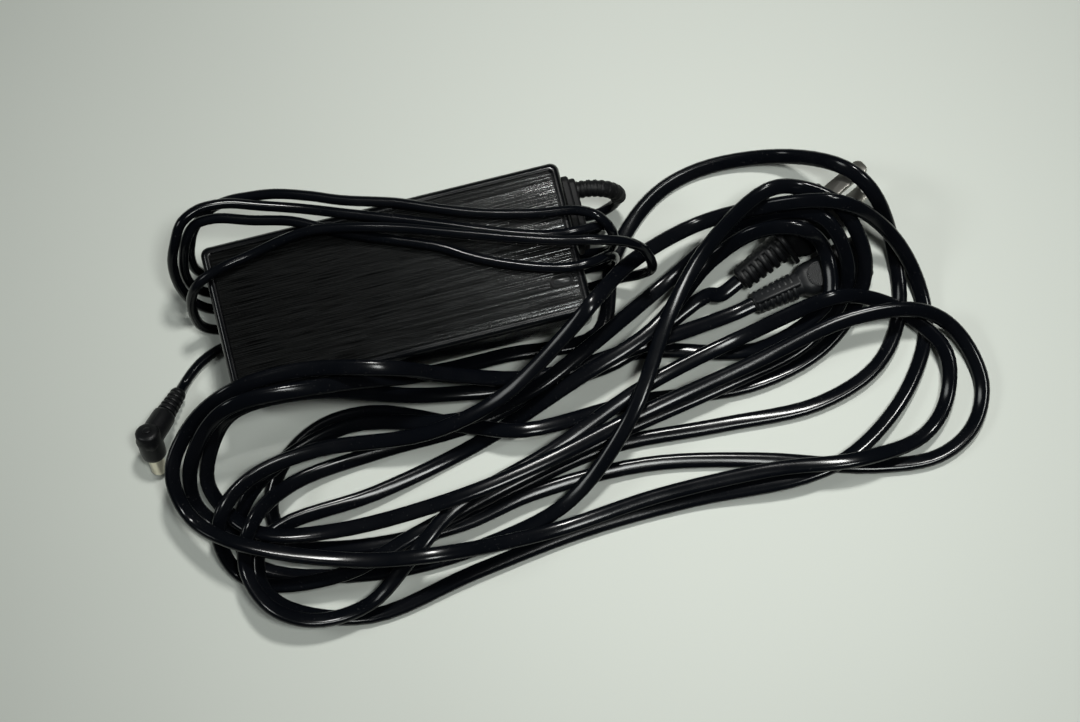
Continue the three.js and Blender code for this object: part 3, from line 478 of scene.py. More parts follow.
def joined(name, *objs):
    materials = list(dict.fromkeys(m for obj in objs for m in obj.data.materials))
    bm = bmesh.new()
    for obj in objs:
        before = len(bm.faces)
        bm.from_mesh(obj.data)
        bm.faces.ensure_lookup_table()
        for face in bm.faces[before:]:
            face.material_index = materials.index(obj.data.materials[face.material_index])
    mesh = bpy.data.meshes.new(name)
    bm.to_mesh(mesh)
    bm.free()
    for m in materials:
        mesh.materials.append(m)
    for obj in objs:
        bpy.data.objects.remove(obj)
    return linked(name, mesh)


def plainMesh(obj):
    # the evaluated shape as a plain mesh, with no modifier left
    name = obj.name
    graph = bpy.context.evaluated_depsgraph_get()
    mesh = bpy.data.meshes.new_from_object(obj.evaluated_get(graph))
    old = obj.data
    bpy.data.objects.remove(obj)
    bpy.data.meshes.remove(old)
    mesh.name = name
    return linked(name, mesh)


def cutAway(obj, *tools):
    for tool in tools:
        mod = obj.modifiers.new("cut", "BOOLEAN")
        mod.operation = "DIFFERENCE"
        mod.solver = "EXACT"
        mod.object = tool
    result = plainMesh(obj)
    result.data.set_sharp_from_angle(angle=crease)
    for tool in tools:
        bpy.data.objects.remove(tool)
    return result


def softEdges(obj, width):
    mod = obj.modifiers.new("softEdges", "BEVEL")
    mod.width = width * 0.001
    mod.segments = 2
    mod.limit_method = "ANGLE"
    mod.angle_limit = math.radians(38.0)
    mod.harden_normals = True
    return plainMesh(obj)


def finishPiece(obj, slotName, *nodes):
    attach(obj, "root")
    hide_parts(*nodes)
    return obj


# ribs: one tree that sets copies of a rib along a line
def makeRibTree():
    tree = bpy.data.node_groups.new("ribsAlongLine", "GeometryNodeTree")
    kinds = {"Line": "Geometry", "Rib": "Object", "Count": "Int", "Last Size": "Float",
             "Turn": "Vector", "Material": "Material"}
    sockets = {}
    for label, kind in kinds.items():
        socket = tree.interface.new_socket(label, in_out="INPUT", socket_type="NodeSocket" + kind)
        sockets[label] = socket.identifier
    tree.interface.new_socket("Ribs", in_out="OUTPUT", socket_type="NodeSocketGeometry")
    node = {name: tree.nodes.new(kind) for name, kind in (
        ("given", "NodeGroupInput"), ("curve", "GeometryNodeMeshToCurve"),
        ("points", "GeometryNodeResampleCurve"), ("rib", "GeometryNodeObjectInfo"),
        ("copies", "GeometryNodeInstanceOnPoints"), ("turned", "FunctionNodeEulerToRotation"),
        ("aligned", "FunctionNodeAlignRotationToVector"), ("tangent", "GeometryNodeInputTangent"),
        ("along", "GeometryNodeSplineParameter"), ("size", "ShaderNodeMapRange"),
        ("real", "GeometryNodeRealizeInstances"), ("painted", "GeometryNodeSetMaterial"),
        ("out", "NodeGroupOutput"))}
    node["aligned"].axis = "Z"
    node["size"].inputs["To Min"].default_value = 1.0
    for source, output, target, socket in (
            ("given", "Line", "curve", "Mesh"), ("curve", "Curve", "points", "Curve"),
            ("given", "Count", "points", "Count"), ("points", "Curve", "copies", "Points"),
            ("given", "Rib", "rib", "Object"), ("rib", "Geometry", "copies", "Instance"),
            ("given", "Turn", "turned", "Euler"), ("turned", "Rotation", "aligned", "Rotation"),
            ("tangent", "Tangent", "aligned", "Vector"), ("aligned", "Rotation", "copies", "Rotation"),
            ("along", "Factor", "size", "Value"), ("given", "Last Size", "size", "To Max"),
            ("size", "Result", "copies", "Scale"), ("copies", "Instances", "real", "Geometry"),
            ("real", "Geometry", "painted", "Geometry"), ("given", "Material", "painted", "Material"),
            ("painted", "Geometry", "out", "Ribs")):
        tree.links.new(node[source].outputs[output], node[target].inputs[socket])
    return tree, sockets


ribTree, ribSockets = makeRibTree()


def ribsAlong(points, rib, count, radii, material, turn=(0.0, 0.0, 0.0)):
    # the ribs grow from the first of the two radii to the last
    mesh = bpy.data.meshes.new("ribs")
    mesh.from_pydata([tuple(p) for p in points], [(i, i + 1) for i in range(len(points) - 1)], [])
    obj = linked("ribs", mesh)
    mod = obj.modifiers.new("ribs", "NODES")
    mod.node_group = ribTree
    for label, value in (("Rib", rib), ("Count", count), ("Last Size", radii[1] / radii[0]), ("Turn", turn),
                         ("Material", material)):
        mod[ribSockets[label]] = value
    result = plainMesh(obj)
    bpy.data.objects.remove(rib)
    result.data.set_sharp_from_angle(angle=crease)
    return result


def ribShape(halfA, halfB, radius, thick, soft):
    # one rib, centred, its axis along Z
    edge = [(thick / 2 - soft * back, soft * inset, radius) for back, inset in ((1, 0), (0.3, 0.3), (0, 1))]
    rows = [(-s, inset, r) for s, inset, r in reversed(edge)] + edge
    return loftAlong("rib", Vector((0, 0, 0)), (0, 0, 1), (0, 1, 0), insetLevels(halfA, halfB, rows),
                     mouldedRubber, 1, 5)


# cords: the routes of the part's source, in millimetres
outputRoute = [
    (82, 13.5, -6.3), (81.8, 13.3, -9.9), (79.5, 12.5, -14.5), (74, 11.5, -17.1), (64, 12, -17.1),
    (20, 16, -17.1), (-20, 19, -17.1), (-57, 22, -17.1), (-64, 23, -16), (-67.5, 25, -8),
    (-67.5, 27.5, 1), (-66, 30, 8), (-63, 34.5, 12.5), (-57, 39, 14), (-50, 40.5, 15), (-42, 40, 16),
    (-33, 38.5, 17.1), (-22, 35, 17.1), (-12, 31, 17.1), (6, 25.5, 17.1), (17, 21, 17.1), (33, 15, 17.1),
    (53, 10, 17.1), (65, 8, 17.5), (71.5, 4, 19), (75, -1, 15.5), (75.5, -4, 7), (74.5, -4, -4),
    (71, -3, -12), (66, -1.5, -16.5), (60, -1, -17.1), (20, 3, -17.1), (-20, 7, -17.1), (-57, 10, -17.1),
    (-65, 11, -16.5), (-71, 14, -8), (-73.5, 19, 2), (-73, 25, 11), (-70, 30, 18), (-66, 35.5, 21.5),
    (-60, 38.5, 21.5), (-55, 39, 21), (-49, 38.5, 20), (-39, 35.5, 18.5), (-26, 31.5, 17.1),
    (-10, 25.5, 17.1), (6, 19.5, 17.1), (19, 14.5, 17.1), (38, 7, 17.1), (54, 2, 17.1), (64, 1, 17.1),
    (71, 1.5, 14.5), (74.5, 2, 7), (75, 3, -2), (72.5, 4, -11), (67, 5, -16), (60, 5, -17.1),
    (20, 8.5, -17.1), (-20, 12, -17.1), (-57, 16, -17.1), (-65, 17, -16), (-70, 19.5, -6),
    (-70.5, 23, 2.5), (-68.5, 27.5, 10.5), (-66, 31, 16), (-62, 34.5, 18), (-55, 35, 18),
    (-43, 31.5, 17.5), (-30, 28, 17.1), (-21, 23.5, 17.1), (-12, 19, 17.1), (4, 12.5, 17.1),
    (17, 7, 17.1), (26, 1.5, 17.1), (35, -3, 17.1), (48, -8, 17.1), (58, -10.5, 17.1), (66, -10.5, 16.5),
    (72, -9, 12), (74.5, -8.5, 4), (74.5, -8.5, -4), (71, -8, -11.5), (66, -7, -16), (60, -7, -17.1),
    (20, -4, -17.1), (-20, 0, -17.1), (-57, 3, -17.1), (-65, 3.5, -16.5), (-70, 5, -9), (-71, 8, 0),
    (-69.5, 12, 9), (-65.5, 15, 15.5), (-58, 17.5, 18), (-46, 20, 17.1), (-35, 22, 18), (-25, 22.5, 20.5),
    (-15, 21, 21.5), (5, 16, 21), (18, 11.5, 21), (31, 7, 21), (44, 2.5, 21), (57, -1.5, 21),
    (70, -4.5, 21), (79, -7, 18), (84.5, -10, 12), (86.5, -15, 3.5), (82.5, -15, -6), (76, -14, -10.5),
    (69, -14, -13), (64, -13.5, -16.5), (57, -12.5, -17.1), (20, -9.5, -17.1), (-20, -6, -17.1),
    (-57, -2.5, -17.1), (-66, -3, -17.1), (-73, -5.6, -17.1), (-77.6, -8.7, -17.1), (-81.2, -12, -17.1),
    (-83.3, -14.6, -15.2),
]
mainsRoute = [
    (119, -34, -13), (111, -35.5, -13), (79, -39, -8.5), (39, -41, -8.5), (8, -34, 4), (-9, -29.5, 18),
    (-40, -22.5, 17.5), (-64, -24, 16.5), (-81.5, -31.5, 5), (-90.5, -44.5, 1.5), (-88, -60, -2.5),
    (-74, -73, 1.5), (-37, -88, -1), (-9, -93, -0.5), (30, -94, -12), (70, -91, -13), (110, -92, -10.5),
    (141, -96, -8.5), (165, -93, -14.5), (176, -83, -15), (180, -67, -12.5), (170, -50, -13),
    (157, -42, -6.5), (145, -40, -1.5), (114, -44, -11), (75, -53, -9), (38, -67, -9.5), (0, -79, -5.5),
    (-16, -90, -4.5), (-36, -103, -12), (-56, -104, -10), (-69, -96, -6), (-74, -81, -5),
    (-68, -67, -1.5), (-52, -56, -12.5), (-20, -52, -16.5), (15, -50.5, -17), (53, -41, -17),
    (77, -40, -17), (116, -49.5, -14.5), (139, -43.5, -8), (145, -38, -5.5), (147, -23, -4),
    (140.5, -15.5, 5), (126, -11.5, 2), (108, -16, -9), (82, -35, -5), (52, -45.5, -5.5),
    (14, -57.5, -17), (-25, -66, -15), (-60, -70, -10), (-69, -77, -9), (-70, -89, -9.5),
    (-63, -98, -12.5), (-37, -107, -17), (2, -101, -16.5), (42, -96, -17), (81, -95, -16.5),
    (121, -97, -13), (140, -93, -13), (163, -77, -16), (176, -57, -17), (177, -38, -14), (169, -21, -1.5),
    (153, -10, 12.5), (126, -3.5, 1.5), (105.5, -3, -5), (79.5, -12, 5), (63, -24, 17), (53, -31, 14),
    (25, -46, 0.5), (-2, -51, -6.5), (-42, -47, -9.5), (-65, -51, -7.5), (-77, -60, -5), (-81, -70, -9),
    (-78, -81, -14), (-69, -88, -14), (-41, -91, -9), (-15, -84, -8), (24, -74, -12.5), (63, -66, -13),
    (103, -59, -12.5), (133, -52, -13.5), (149, -40, -10), (153, -30, -1.5), (148.5, -14.5, 7),
    (138.5, -8, 4), (118, -7, -7), (93, -18, -14.5), (58, -36, -5.5), (36, -45.5, -4.5), (9, -49, -8.5),
    (-30, -41, -13.5), (-64, -53, -13), (-74, -65, -16.5), (-74, -76, -17), (-66, -84, -17),
    (-27, -93.5, -17), (13, -92, -16.5), (40, -85, -12.5), (67, -63, -2), (90, -30, -1.5), (109, -11, 1),
    (131, 0.5, 8), (142, -0.5, 5.5), (154, -10, 6.5), (159.5, -29, -2.5), (153.5, -43, -13),
    (138, -55, -16.5), (111, -61, -16.5), (71, -57, -16.5), (30.5, -58, -9), (13, -52, -12),
    (-20, -38, -16.5), (-40, -39, -17), (-56, -50, -17), (-62, -64, -17), (-57, -78, -17),
    (-43.5, -85, -15.5), (-20, -86.5, -17), (18, -77, -17), (57, -70, -17), (97, -72, -17),
    (133, -73, -17), (156, -65, -16.5), (168, -50, -17), (172, -27, -14), (167, -8, 4), (160, 2, 5),
    (141, 15, -12), (113, 18, -16.5), (94, 12, -17), (76, -5, -17), (64, -30, -17), (31, -30, -15),
    (2, -31, -5.5), (-35, -29.5, 17.5), (-63, -29, 19.5), (-75.5, -34, 10.5), (-85, -46, -0.5),
    (-85.5, -57, -10), (-75, -69, -13), (-65, -75, -13.5), (-35, -83, -11.5), (1, -84, -13),
    (28, -79.5, -13.5), (68, -79, -16.5), (107, -87, -17), (146, -99, -17), (169, -101, -17),
    (183, -94, -17), (190, -80, -16), (186, -61, -13.5), (174, -51, -6.5), (150, -48, -5.5),
    (111, -55, -8), (72, -62, -9), (33, -71, -4), (-2, -76, -2), (-42, -76, -7), (-66, -71, -5.5),
    (-76.5, -60, -10), (-80, -49, -5), (-72, -35, 6), (-62, -30, 15), (-38, -30, 14), (-0, -38, -7),
    (39, -43, -12.5), (67, -42, -13), (104, -27, -13), (108.5, -28, -11.5), (116, -25, -11),
]
outputSize = {"outline": (3.6, 3.6, 14), "steps": 7}
mainsSize = {"outline": (5.4, 3.2, 28, 2.7), "steps": 6, "roll": math.pi / 6, "rollRadius": 60.0}


def curveThrough(points, perSpan):
    # centripetal curve through the points
    p = [mm(*q) for q in points]
    p = [p[0] * 2 - p[1]] + p + [p[-1] * 2 - p[-2]]
    out = []

    def between(a, b, ta, tb, t):
        return a * ((tb - t) / (tb - ta)) + b * ((t - ta) / (tb - ta))

    for a, b, c, d in zip(p, p[1:], p[2:], p[3:]):
        t1 = math.sqrt((b - a).length)
        t2 = t1 + math.sqrt((c - b).length)
        t3 = t2 + math.sqrt((d - c).length)
        for k in range(perSpan):
            t = t1 + (t2 - t1) * k / perSpan
            a1 = between(a, b, 0.0, t1, t)
            a2 = between(b, c, t1, t2, t)
            a3 = between(c, d, t2, t3, t)
            out.append(between(between(a1, a2, 0.0, t2, t), between(a2, a3, t1, t3, t), t1, t2, t))
    out.append(p[-2])
    return out


def lineLength(line):
    return sum((b - a).length for a, b in zip(line, line[1:]))


def tangents(line):
    last = len(line) - 1
    return [(line[min(i + 1, last)] - line[max(i - 1, 0)]).normalized() for i in range(last + 1)]


def sweptTube(name, line, frames, outline, material, lowest=-1.0):
    # the outline swept along the line, nowhere lower than the lowest height in metres;
    # UVs run round it and along it in metres
    n = len(outline)
    verts = [p + side * a + up * b for p, (side, up) in zip(line, frames) for a, b in outline]
    for q in verts:
        q.z = max(q.z, lowest)
    uvs = []
    run = 0.0
    for a, b in zip(line, line[1:]):
        far = run + (b - a).length
        for k in range(n):
            uvs += [(k / n, run), ((k + 1) / n, run), ((k + 1) / n, far), (k / n, far)]
        run = far
    uvs += [(0.0, 0.0)] * n + [(0.0, run)] * n
    return newObject(name, verts, ringFaces(len(line), n), material, uvs, math.radians(50.0))


def ovalOutline(wide, thick, sides, squareness=2.0):
    # squareness 2 makes an ellipse, and more of it makes flatter faces with rounded edges
    out = []
    for k in range(sides):
        t = 2 * math.pi * k / sides
        a = math.copysign(abs(math.cos(t)) ** (2 / squareness), math.cos(t))
        b = math.copysign(abs(math.sin(t)) ** (2 / squareness), math.sin(t))
        out.append((a * wide * 0.0005, b * thick * 0.0005))
    return out


def roundFrames(line):
    out = []
    up = Vector((0.0, 0.0, 1.0))
    for t in tangents(line):
        up = (up - t * up.dot(t)).normalized()
        out.append((t.cross(up), up))
    return out


def routeRolls(route, most, radius):
    # the flat cord turns towards its edge where it bends in plan: the roll at each route point
    plan = [Vector(q[:2]) for q in route]
    steps = [b - a for a, b in zip(plan, plan[1:])]
    long = [0.0] + [step.length for step in steps] + [0.0]
    span = [(a + b) / 2 for a, b in zip(long, long[1:])]
    turn = [math.atan2(a.x * b.y - a.y * b.x, a.dot(b)) for a, b in zip(steps, steps[1:])]
    turn = [0.0] + turn + [0.0]
    for _ in range(2):
        for values in (turn, span):
            values[1:-1] = [(a + 2 * b + c) / 4 for a, b, c in zip(values, values[1:], values[2:])]
    rolls = [max(-1.0, min(1.0, radius * t / s)) * most for t, s in zip(turn, span)]
    return [0.0] * 3 + rolls[3:-3] + [0.0] * 3


def flatFrames(line, rolls, perSpan):
    out = []
    for i, t in enumerate(tangents(line)):
        k = min(i // perSpan, len(rolls) - 2)
        roll = rolls[k] + (rolls[k + 1] - rolls[k]) * (i / perSpan - k)
        level = Vector((t.y, -t.x, 0.0)).normalized()
        side = level * math.cos(roll) + level.cross(t) * math.sin(roll)
        out.append((side, side.cross(t)))
    return out


outputLine = curveThrough(outputRoute, outputSize["steps"])
mainsLine = curveThrough(mainsRoute, mainsSize["steps"])
mainsRolls = routeRolls(mainsRoute, mainsSize["roll"], mainsSize["rollRadius"])
mainsFrames = flatFrames(mainsLine, mainsRolls, mainsSize["steps"])
overFloor = view["floorHeight"] + 0.00001
outputCord = sweptTube("outputCord", outputLine, roundFrames(outputLine),
                       ovalOutline(*outputSize["outline"]), cordJacket, overFloor)
mainsCord = sweptTube("mainsCord", mainsLine, mainsFrames, ovalOutline(*mainsSize["outline"]), cordJacket,
                      overFloor)
finishPiece(outputCord, "cord_jacket", "dc_cord_winding", "dc_cord_lead")
finishPiece(mainsCord, "cord_jacket", "ac_cord_coil", "ac_tail_connector", "ac_tail_plug")
print("cords laid:", round(lineLength(outputLine), 3), "m and", round(lineLength(mainsLine), 3), "m")


# pins, blades and contacts come in pairs: the number in the name, and the side
pair = (("1", -1), ("2", 1))

# housing: two covers, the brushed panel, the status window and the mains inlet;
# rows give a height from the seam, the top or the panel's foot, the inset and the corner radius
housing = {
    "half": (63.0, 27.0, 15.0), "wall": 2.0, "gap": 0.3, "corner": 3.0, "innerCorner": 1.5,
    "edgeDrop": 3.0, "lowerInset": 2.2, "upperInset": 1.9, "leastCorner": 1.6,
    "lowerSeam": [(-1.2, 2.0, 1.5), (-0.05, 1.1, 2.0), (0, 1.0, 2.0), (0, 0.22, 2.8), (-0.2, 0, 3.0)],
    "upperSeam": [(0, 2.0, 1.5), (0, 0.22, 2.8), (0.2, 0, 3.0)],
    "bezel": 2.8, "bezelLip": [(0, 2.62, 1.3), (-0.06, 2.75, 1.2), (-0.18, 2.8, 1.2), (-0.8, 2.8, 1.2)],
    "panelSink": 0.8, "panel": [(0, 0, 1.0), (0.3, 0, 1.0), (0.4, 0.1, 0.9)],
}
window = {
    "at": (54.5, -14.0), "half": (4.3, 2.35), "corner": 3.0,
    "stemRadius": 1.4, "stemLow": -1.9, "stemBore": 1.7, "boreSpan": (9.0, 16.0),
    "rim": [(0, 0, 2.7), (0.26, 0, 2.7), (0.38, 0.15, 2.6), (0.38, 0.7, 2.0), (0.12, 0.85, 1.8)],
    "glass": [(0.05, 1.1, 1.3), (0.24, 1.1, 1.3), (0.32, 1.25, 1.2)],
}
inlet = {"at": (-14.0, -1.9), "half": (10.0, 6.0), "deep": 17.0, "boreHalf": (8.4, 4.2), "boreDeep": 12.0,
         "pinSpacing": 8.6, "pin": [(3.0, 0.7), (3.5, 1.2), (20.0, 1.2)]}
relief = {
    "at": (9.2, 2.5), "half": (13.2, 8.0), "neckInset": 3.0,
    "collars": [(0, 2.4, 0, 3.0), (2.3, 2.3, 1.2, 2.5)], "collarSoft": 0.9,
    "line": [(67, 17.6, 3), (72.5, 17, 3.3), (77.8, 15.6, 2.4), (81.2, 14.3, -1.4), (82, 13.7, -6)],
    "ribs": 9, "ribRadius": (3.05, 2.85), "ribThick": 1.5, "ribsFrom": 0.0023, "ribsShort": 0.0002,
    "coreWide": 5.5, "bootBack": 0.9, "boot": [(0, 4.4), (0.9, 3.8), (1.8, 3.2), (2.6, 3.0)],
}


def arcRows(inset, steps, way):
    # the covers' rounded edge, from the wall upwards or downwards, way 1 or -1
    out = []
    for k in range(steps + 1):
        t = math.pi / 2 * k / steps
        s = inset * (1 - math.cos(t))
        corner = max(housing["corner"] - s * 0.5, housing["leastCorner"])
        out.append((way * housing["edgeDrop"] * math.sin(t), s, corner))
    return out


def makeCovers():
    h = housing
    hx, hy, hz = h["half"]
    wall, gap, drop = h["wall"], h["gap"], h["edgeDrop"]

    def levels(z, rows):
        return insetLevels(hx, hy, rows, z)

    lower = levels(-hz, [(wall, wall, h["innerCorner"])]) + levels(-gap / 2, h["lowerSeam"])
    lower += levels(drop - hz, arcRows(h["lowerInset"], 7, -1))
    upper = levels(hz - h["panelSink"], [(-wall, wall, h["innerCorner"])]) + levels(gap / 2, h["upperSeam"])
    upper += levels(hz - drop, arcRows(h["upperInset"], 8, 1)) + levels(hz, h["bezelLip"])
    inletHalf = [side + gap for side in inlet["half"]]
    neckHalf = [side - relief["neckInset"] + gap for side in relief["half"]]
    for name, node, rows in (("bottomCover", "bottom_cover", lower), ("topCover", "top_cover", upper)):
        cover = plateLoft(name, (0, 0), rows, housingPlastic)
        cutters = [blockX("cutInlet", -hx - 1, 1 + wall - hx, inlet["at"], inletHalf, 1.8, housingPlastic),
                   blockX("cutNeck", hx - wall - 1, hx + 1, relief["at"], neckHalf, 2.3, housingPlastic)]
        if name == "topCover":
            bore = [(z, *[window["stemBore"]] * 3) for z in window["boreSpan"]]
            cutters.append(plateLoft("cutStem", window["at"], bore, housingPlastic))
        finishPiece(cutAway(cover, *cutters), "housing_plastic", node)


def makePanel():
    h = housing
    low = h["half"][2] - h["panelSink"] + h["gap"]
    a, b = (side - h["bezel"] - h["gap"] for side in h["half"][:2])
    plate = plateLoft("topPanel", (0, 0), insetLevels(a, b, h["panel"], low), brushedPanel)
    hole = plateLoft("cutWindow", window["at"],
                     [(low + z, *window["half"], window["corner"]) for z in (-1, 1)], brushedPanel)
    finishPiece(cutAway(plate, hole), "brushed_panel", "top_panel")
    # the window: a black rim round a smoky lens, its stem down to the light on the board
    a, b = (side - h["gap"] for side in window["half"])
    stem = [(z, *[window["stemRadius"]] * 3) for z in (window["stemLow"], low)]
    rim = plateLoft("rim", window["at"], stem + insetLevels(a, b, window["rim"], low), collarRubber)
    glass = plateLoft("glass", window["at"], insetLevels(a, b, window["glass"], low), windowPlastic)
    finishPiece(joined("statusWindow", rim, glass), "window_plastic", "led_window")


def makeInlet():
    end = -housing["half"][0]
    at, bore = inlet["at"], inlet["boreHalf"]
    body = blockX("inletHousing", end, end + inlet["deep"], at, inlet["half"], 1.5, inletPlastic)
    hole = blockX("cutBore", end - 1, end + inlet["boreDeep"], at, bore, bore[1], inletPlastic, 12)
    finishPiece(softEdges(cutAway(body, hole), 0.25), "component_case", "inlet_housing")
    for number, way in pair:
        foot = mm(end, at[0] + way * inlet["pinSpacing"] / 2, at[1])
        rings = [[foot + Vector((x * 0.001, a, b)) for a, b in ovalOutline(2 * r, 2 * r, 24)]
                 for x, r in inlet["pin"]]
        finishPiece(loft("inletPin" + number, rings, platedMetal), "plated_metal", "inlet_pin_" + number)


makeCovers()
makePanel()
makeInlet()
print("housing made")


# output strain relief: collars, neck and flange moulded with a ribbed sleeve
def makeRelief():
    r = relief
    end = housing["half"][0]
    outer = end + housing["gap"]
    a, b = r["half"]
    inset = r["neckInset"]
    soft = r["collarSoft"]
    collars = []
    for out, high, cut, corner in r["collars"]:
        rows = [(0.0, 0, corner), (high - soft, 0, corner), (high - soft * 0.5, soft * 0.14, corner),
                (high - soft * 0.14, soft * 0.5, corner), (high, soft, corner - soft * 0.5)]
        keys = insetLevels(a - cut, b - cut, rows)
        collars.append(loftAlong("collar", mm(outer + out, *r["at"]), (1, 0, 0), (0, 0, 1), keys,
                                 collarRubber, 1, 8))
    neck = blockX("neck", end - 3, outer + 1, r["at"], (a - inset, b - inset), 2.0, mouldedRubber)
    flange = blockX("flange", end - 4.8, end - 2.3, r["at"], r["half"], 2.0, mouldedRubber)
    line = curveThrough(r["line"], 8)
    core = sweptTube("core", line, roundFrames(line), ovalOutline(r["coreWide"], r["coreWide"], 24),
                     collarRubber)
    runs = [lineLength(line[:i + 1]) for i in range(len(line))]
    ribLine = [p for p, run in zip(line, runs) if r["ribsFrom"] < run < runs[-1] - r["ribsShort"]]
    radius = r["ribRadius"][0]
    ribs = ribsAlong(ribLine, ribShape(radius, radius, radius, r["ribThick"], 0.3), r["ribs"], r["ribRadius"],
                     collarRubber)
    boot = roundLoft("boot", line[0] - mm(r["bootBack"], 0, 0), line[3] - line[0], (0, 0, 1), r["boot"],
                     mouldedRubber, 2)
    piece = joined("outputRelief", *collars, neck, flange, core, boot, ribs)
    return finishPiece(piece, "moulded_rubber", "output_strain_relief")


outputRelief = makeRelief()
print("output relief made")

# output plug: ribbed sleeve up to an elbow, the barrel at a right angle to it;
# rows give a distance along the sleeve, from the elbow or along the barrel, and a radius there
outputPlug = {
    "elbow": (-96.0, -30.0, -4.0), "barrel": (-0.08, -0.63, -0.77),
    "ribs": 5, "ribSpan": (1.6, 9.7), "ribRadius": (2.9, 3.5), "ribThick": 1.15,
    "sleeve": [(0.3, 2.4), (0.8, 2.6), (10.5, 2.9), (11.1, 3.7), (12.2, 4.15)],
    "elbowEnd": [(0.8, 4.3), (2.4, 4.0), (3.6, 3.1), (4.4, 1.4)],
    "body": [(-4.9, 1.1), (-4.75, 1.4), (-4.4, 1.45), (-4.4, 3.0), (-4.1, 3.7), (-3.4, 4.3), (4.6, 4.5),
             (7.6, 4.3), (7.9, 4.1), (8.0, 3.8)],
    "bore": [(5.5, 3.05), (9.0, 3.05)],
    "shell": (5.8, 16.3, 2.75, 2.4), "insulator": (5.8, 16.0, 2.1, 1.4),
    "contact": [(5.8, 1.1), (15.0, 1.1), (15.3, 0.8)],
}


def makeOutputPlug():
    p = outputPlug
    start = mm(*outputRoute[-1])
    elbow = mm(*p["elbow"])
    axis = (elbow - start).normalized()
    barrel = Vector(p["barrel"])
    barrel = (barrel - axis * barrel.dot(axis)).normalized()
    reach = (elbow - start).length * 1000
    rows = p["sleeve"] + [(reach + s, r) for s, r in p["elbowEnd"]]
    sleeve = roundLoft("sleeve", start, axis, barrel, rows, mouldedRubber, 3, 8)
    radius = p["ribRadius"][0]
    ribLine = [start + axis * (0.001 * s) for s in p["ribSpan"]]
    ribs = ribsAlong(ribLine, ribShape(radius, radius, radius, p["ribThick"], 0.3), p["ribs"],
                     p["ribRadius"], mouldedRubber)

    def turned(name, rows, material, between=1, steps=9):
        return roundLoft(name, elbow, barrel, axis, rows, material, between, steps)

    def tube(name, sizes, material):
        s0, s1, outer, inner = sizes
        wall = turned(name, [(s0, outer), (s1 - 0.25, outer), (s1, outer - 0.12)], material)
        return cutAway(wall, turned("hole", [(s0 - 1, inner), (s1 + 1, inner)], material))

    body = cutAway(turned("barrelBody", p["body"], mouldedRubber, 2, 8),
                   turned("bore", p["bore"], mouldedRubber, 1, 8))
    piece = joined("outputPlugBody", sleeve, ribs, body)
    finishPiece(piece, "moulded_rubber", "dc_plug_body")
    shell = tube("outputPlugSleeve", p["shell"], warmMetal)
    finishPiece(shell, "plated_metal", "dc_plug_sleeve")
    insulator = tube("outputPlugInsulator", p["insulator"], inside["cream"])
    finishPiece(insulator, "cream_insulator", "dc_plug_insulator")
    contact = turned("outputPlugContact", p["contact"], platedMetal, 1, 6)
    finishPiece(contact, "plated_metal", "dc_plug_contact")
    return [piece, shell, insulator, contact]


outputPlugPieces = makeOutputPlug()
print("output plug made")


def ribbedSleeve(piece, start, axis, up, material):
    # a core, a smooth back that joins the ribs along one side, and the ribs;
    # a rib's form is its height and its corner against its half width, and its soft edge
    core = loftAlong("core", start, axis, up, piece["core"], material, 2, 6)
    off = axisFrame(axis, piece["backSide"])[1]
    back = loftAlong("back", start + off * piece["backOff"], axis + off * piece["backRise"], off,
                     piece["back"], material, 2, 5)
    first, last = piece["ribSpan"]
    pitch = (last - first) / piece["ribs"]
    radius = piece["ribRadius"][0]
    flat, corner, soft = piece["ribForm"]
    rib = ribShape(radius, radius * flat, radius * corner, pitch * 0.6, soft)
    ribLine = [start + axis * (0.001 * (first + pitch * 0.3 + (last - first - pitch) * k)) for k in (0, 1)]
    t, u, w = axisFrame(axis, up)
    turn = Matrix((w, u, t)).transposed().to_euler()
    return core, back, ribsAlong(ribLine, rib, piece["ribs"], piece["ribRadius"], material, turn)


# mains plug: chunky ribs, a flange, a body turned about its axis, two flat blades;
# rows give a distance along the axis, half width, half height and corner radius
mainsPlug = {
    "axis": (0.9, 0.42, 0.13), "roll": 60.0,
    "core": [(0.3, 3.5, 3.1, 3.0), (0.9, 3.9, 3.5, 3.3), (2.0, 3.9, 3.5, 3.3), (16.8, 4.5, 4.1, 4.0),
             (18.8, 5.3, 4.8, 4.4), (21.3, 5.5, 5, 4.5)],
    "ribs": 6, "ribSpan": (1.0, 19.0), "ribRadius": (4.6, 5.6), "ribForm": (0.92, 0.9, 0.45),
    "backSide": (-0.3, 0.7, 0.7), "backOff": 0.0023, "backRise": 0.036,
    "back": [(0.8, 1.6, 1.8, 0.8), (1.3, 1.9, 2.1, 0.9), (20.3, 2.4, 2.3, 0.9)],
    "flange": [(19.3, 8.5, 5.5, 4), (19.5, 8.9, 5.9, 4), (20.0, 9.0, 6.0, 4), (20.6, 9.0, 6.0, 4),
               (21.1, 8.8, 5.8, 4), (21.2, 8.4, 5.5, 4)],
    "block": [(20.8, 6.3, 4.8, 4), (22.2, 7.6, 5.4, 4.2), (23.8, 9, 5.8, 4.2), (27.3, 10, 6.2, 4.5),
              (41.8, 10, 6.2, 4.5), (42.6, 9.75, 5.95, 4.3), (43.0, 9.3, 5.5, 4)],
    "slot": [(36.7, 1.05, 3.45, 0.3), (44.0, 1.05, 3.45, 0.3)],
    "blade": [(37.0, 0.75, 3.15, 0.15), (56.8, 0.75, 3.15, 0.15), (57.8, 0.69, 2.8, 0.15),
              (58.5, 0.59, 2.2, 0.15), (59.0, 0.45, 1.45, 0.15)],
    "bladeSpacing": 12.7, "holeAt": 54.8, "hole": [(-2, 1.6), (2, 1.6)],
}


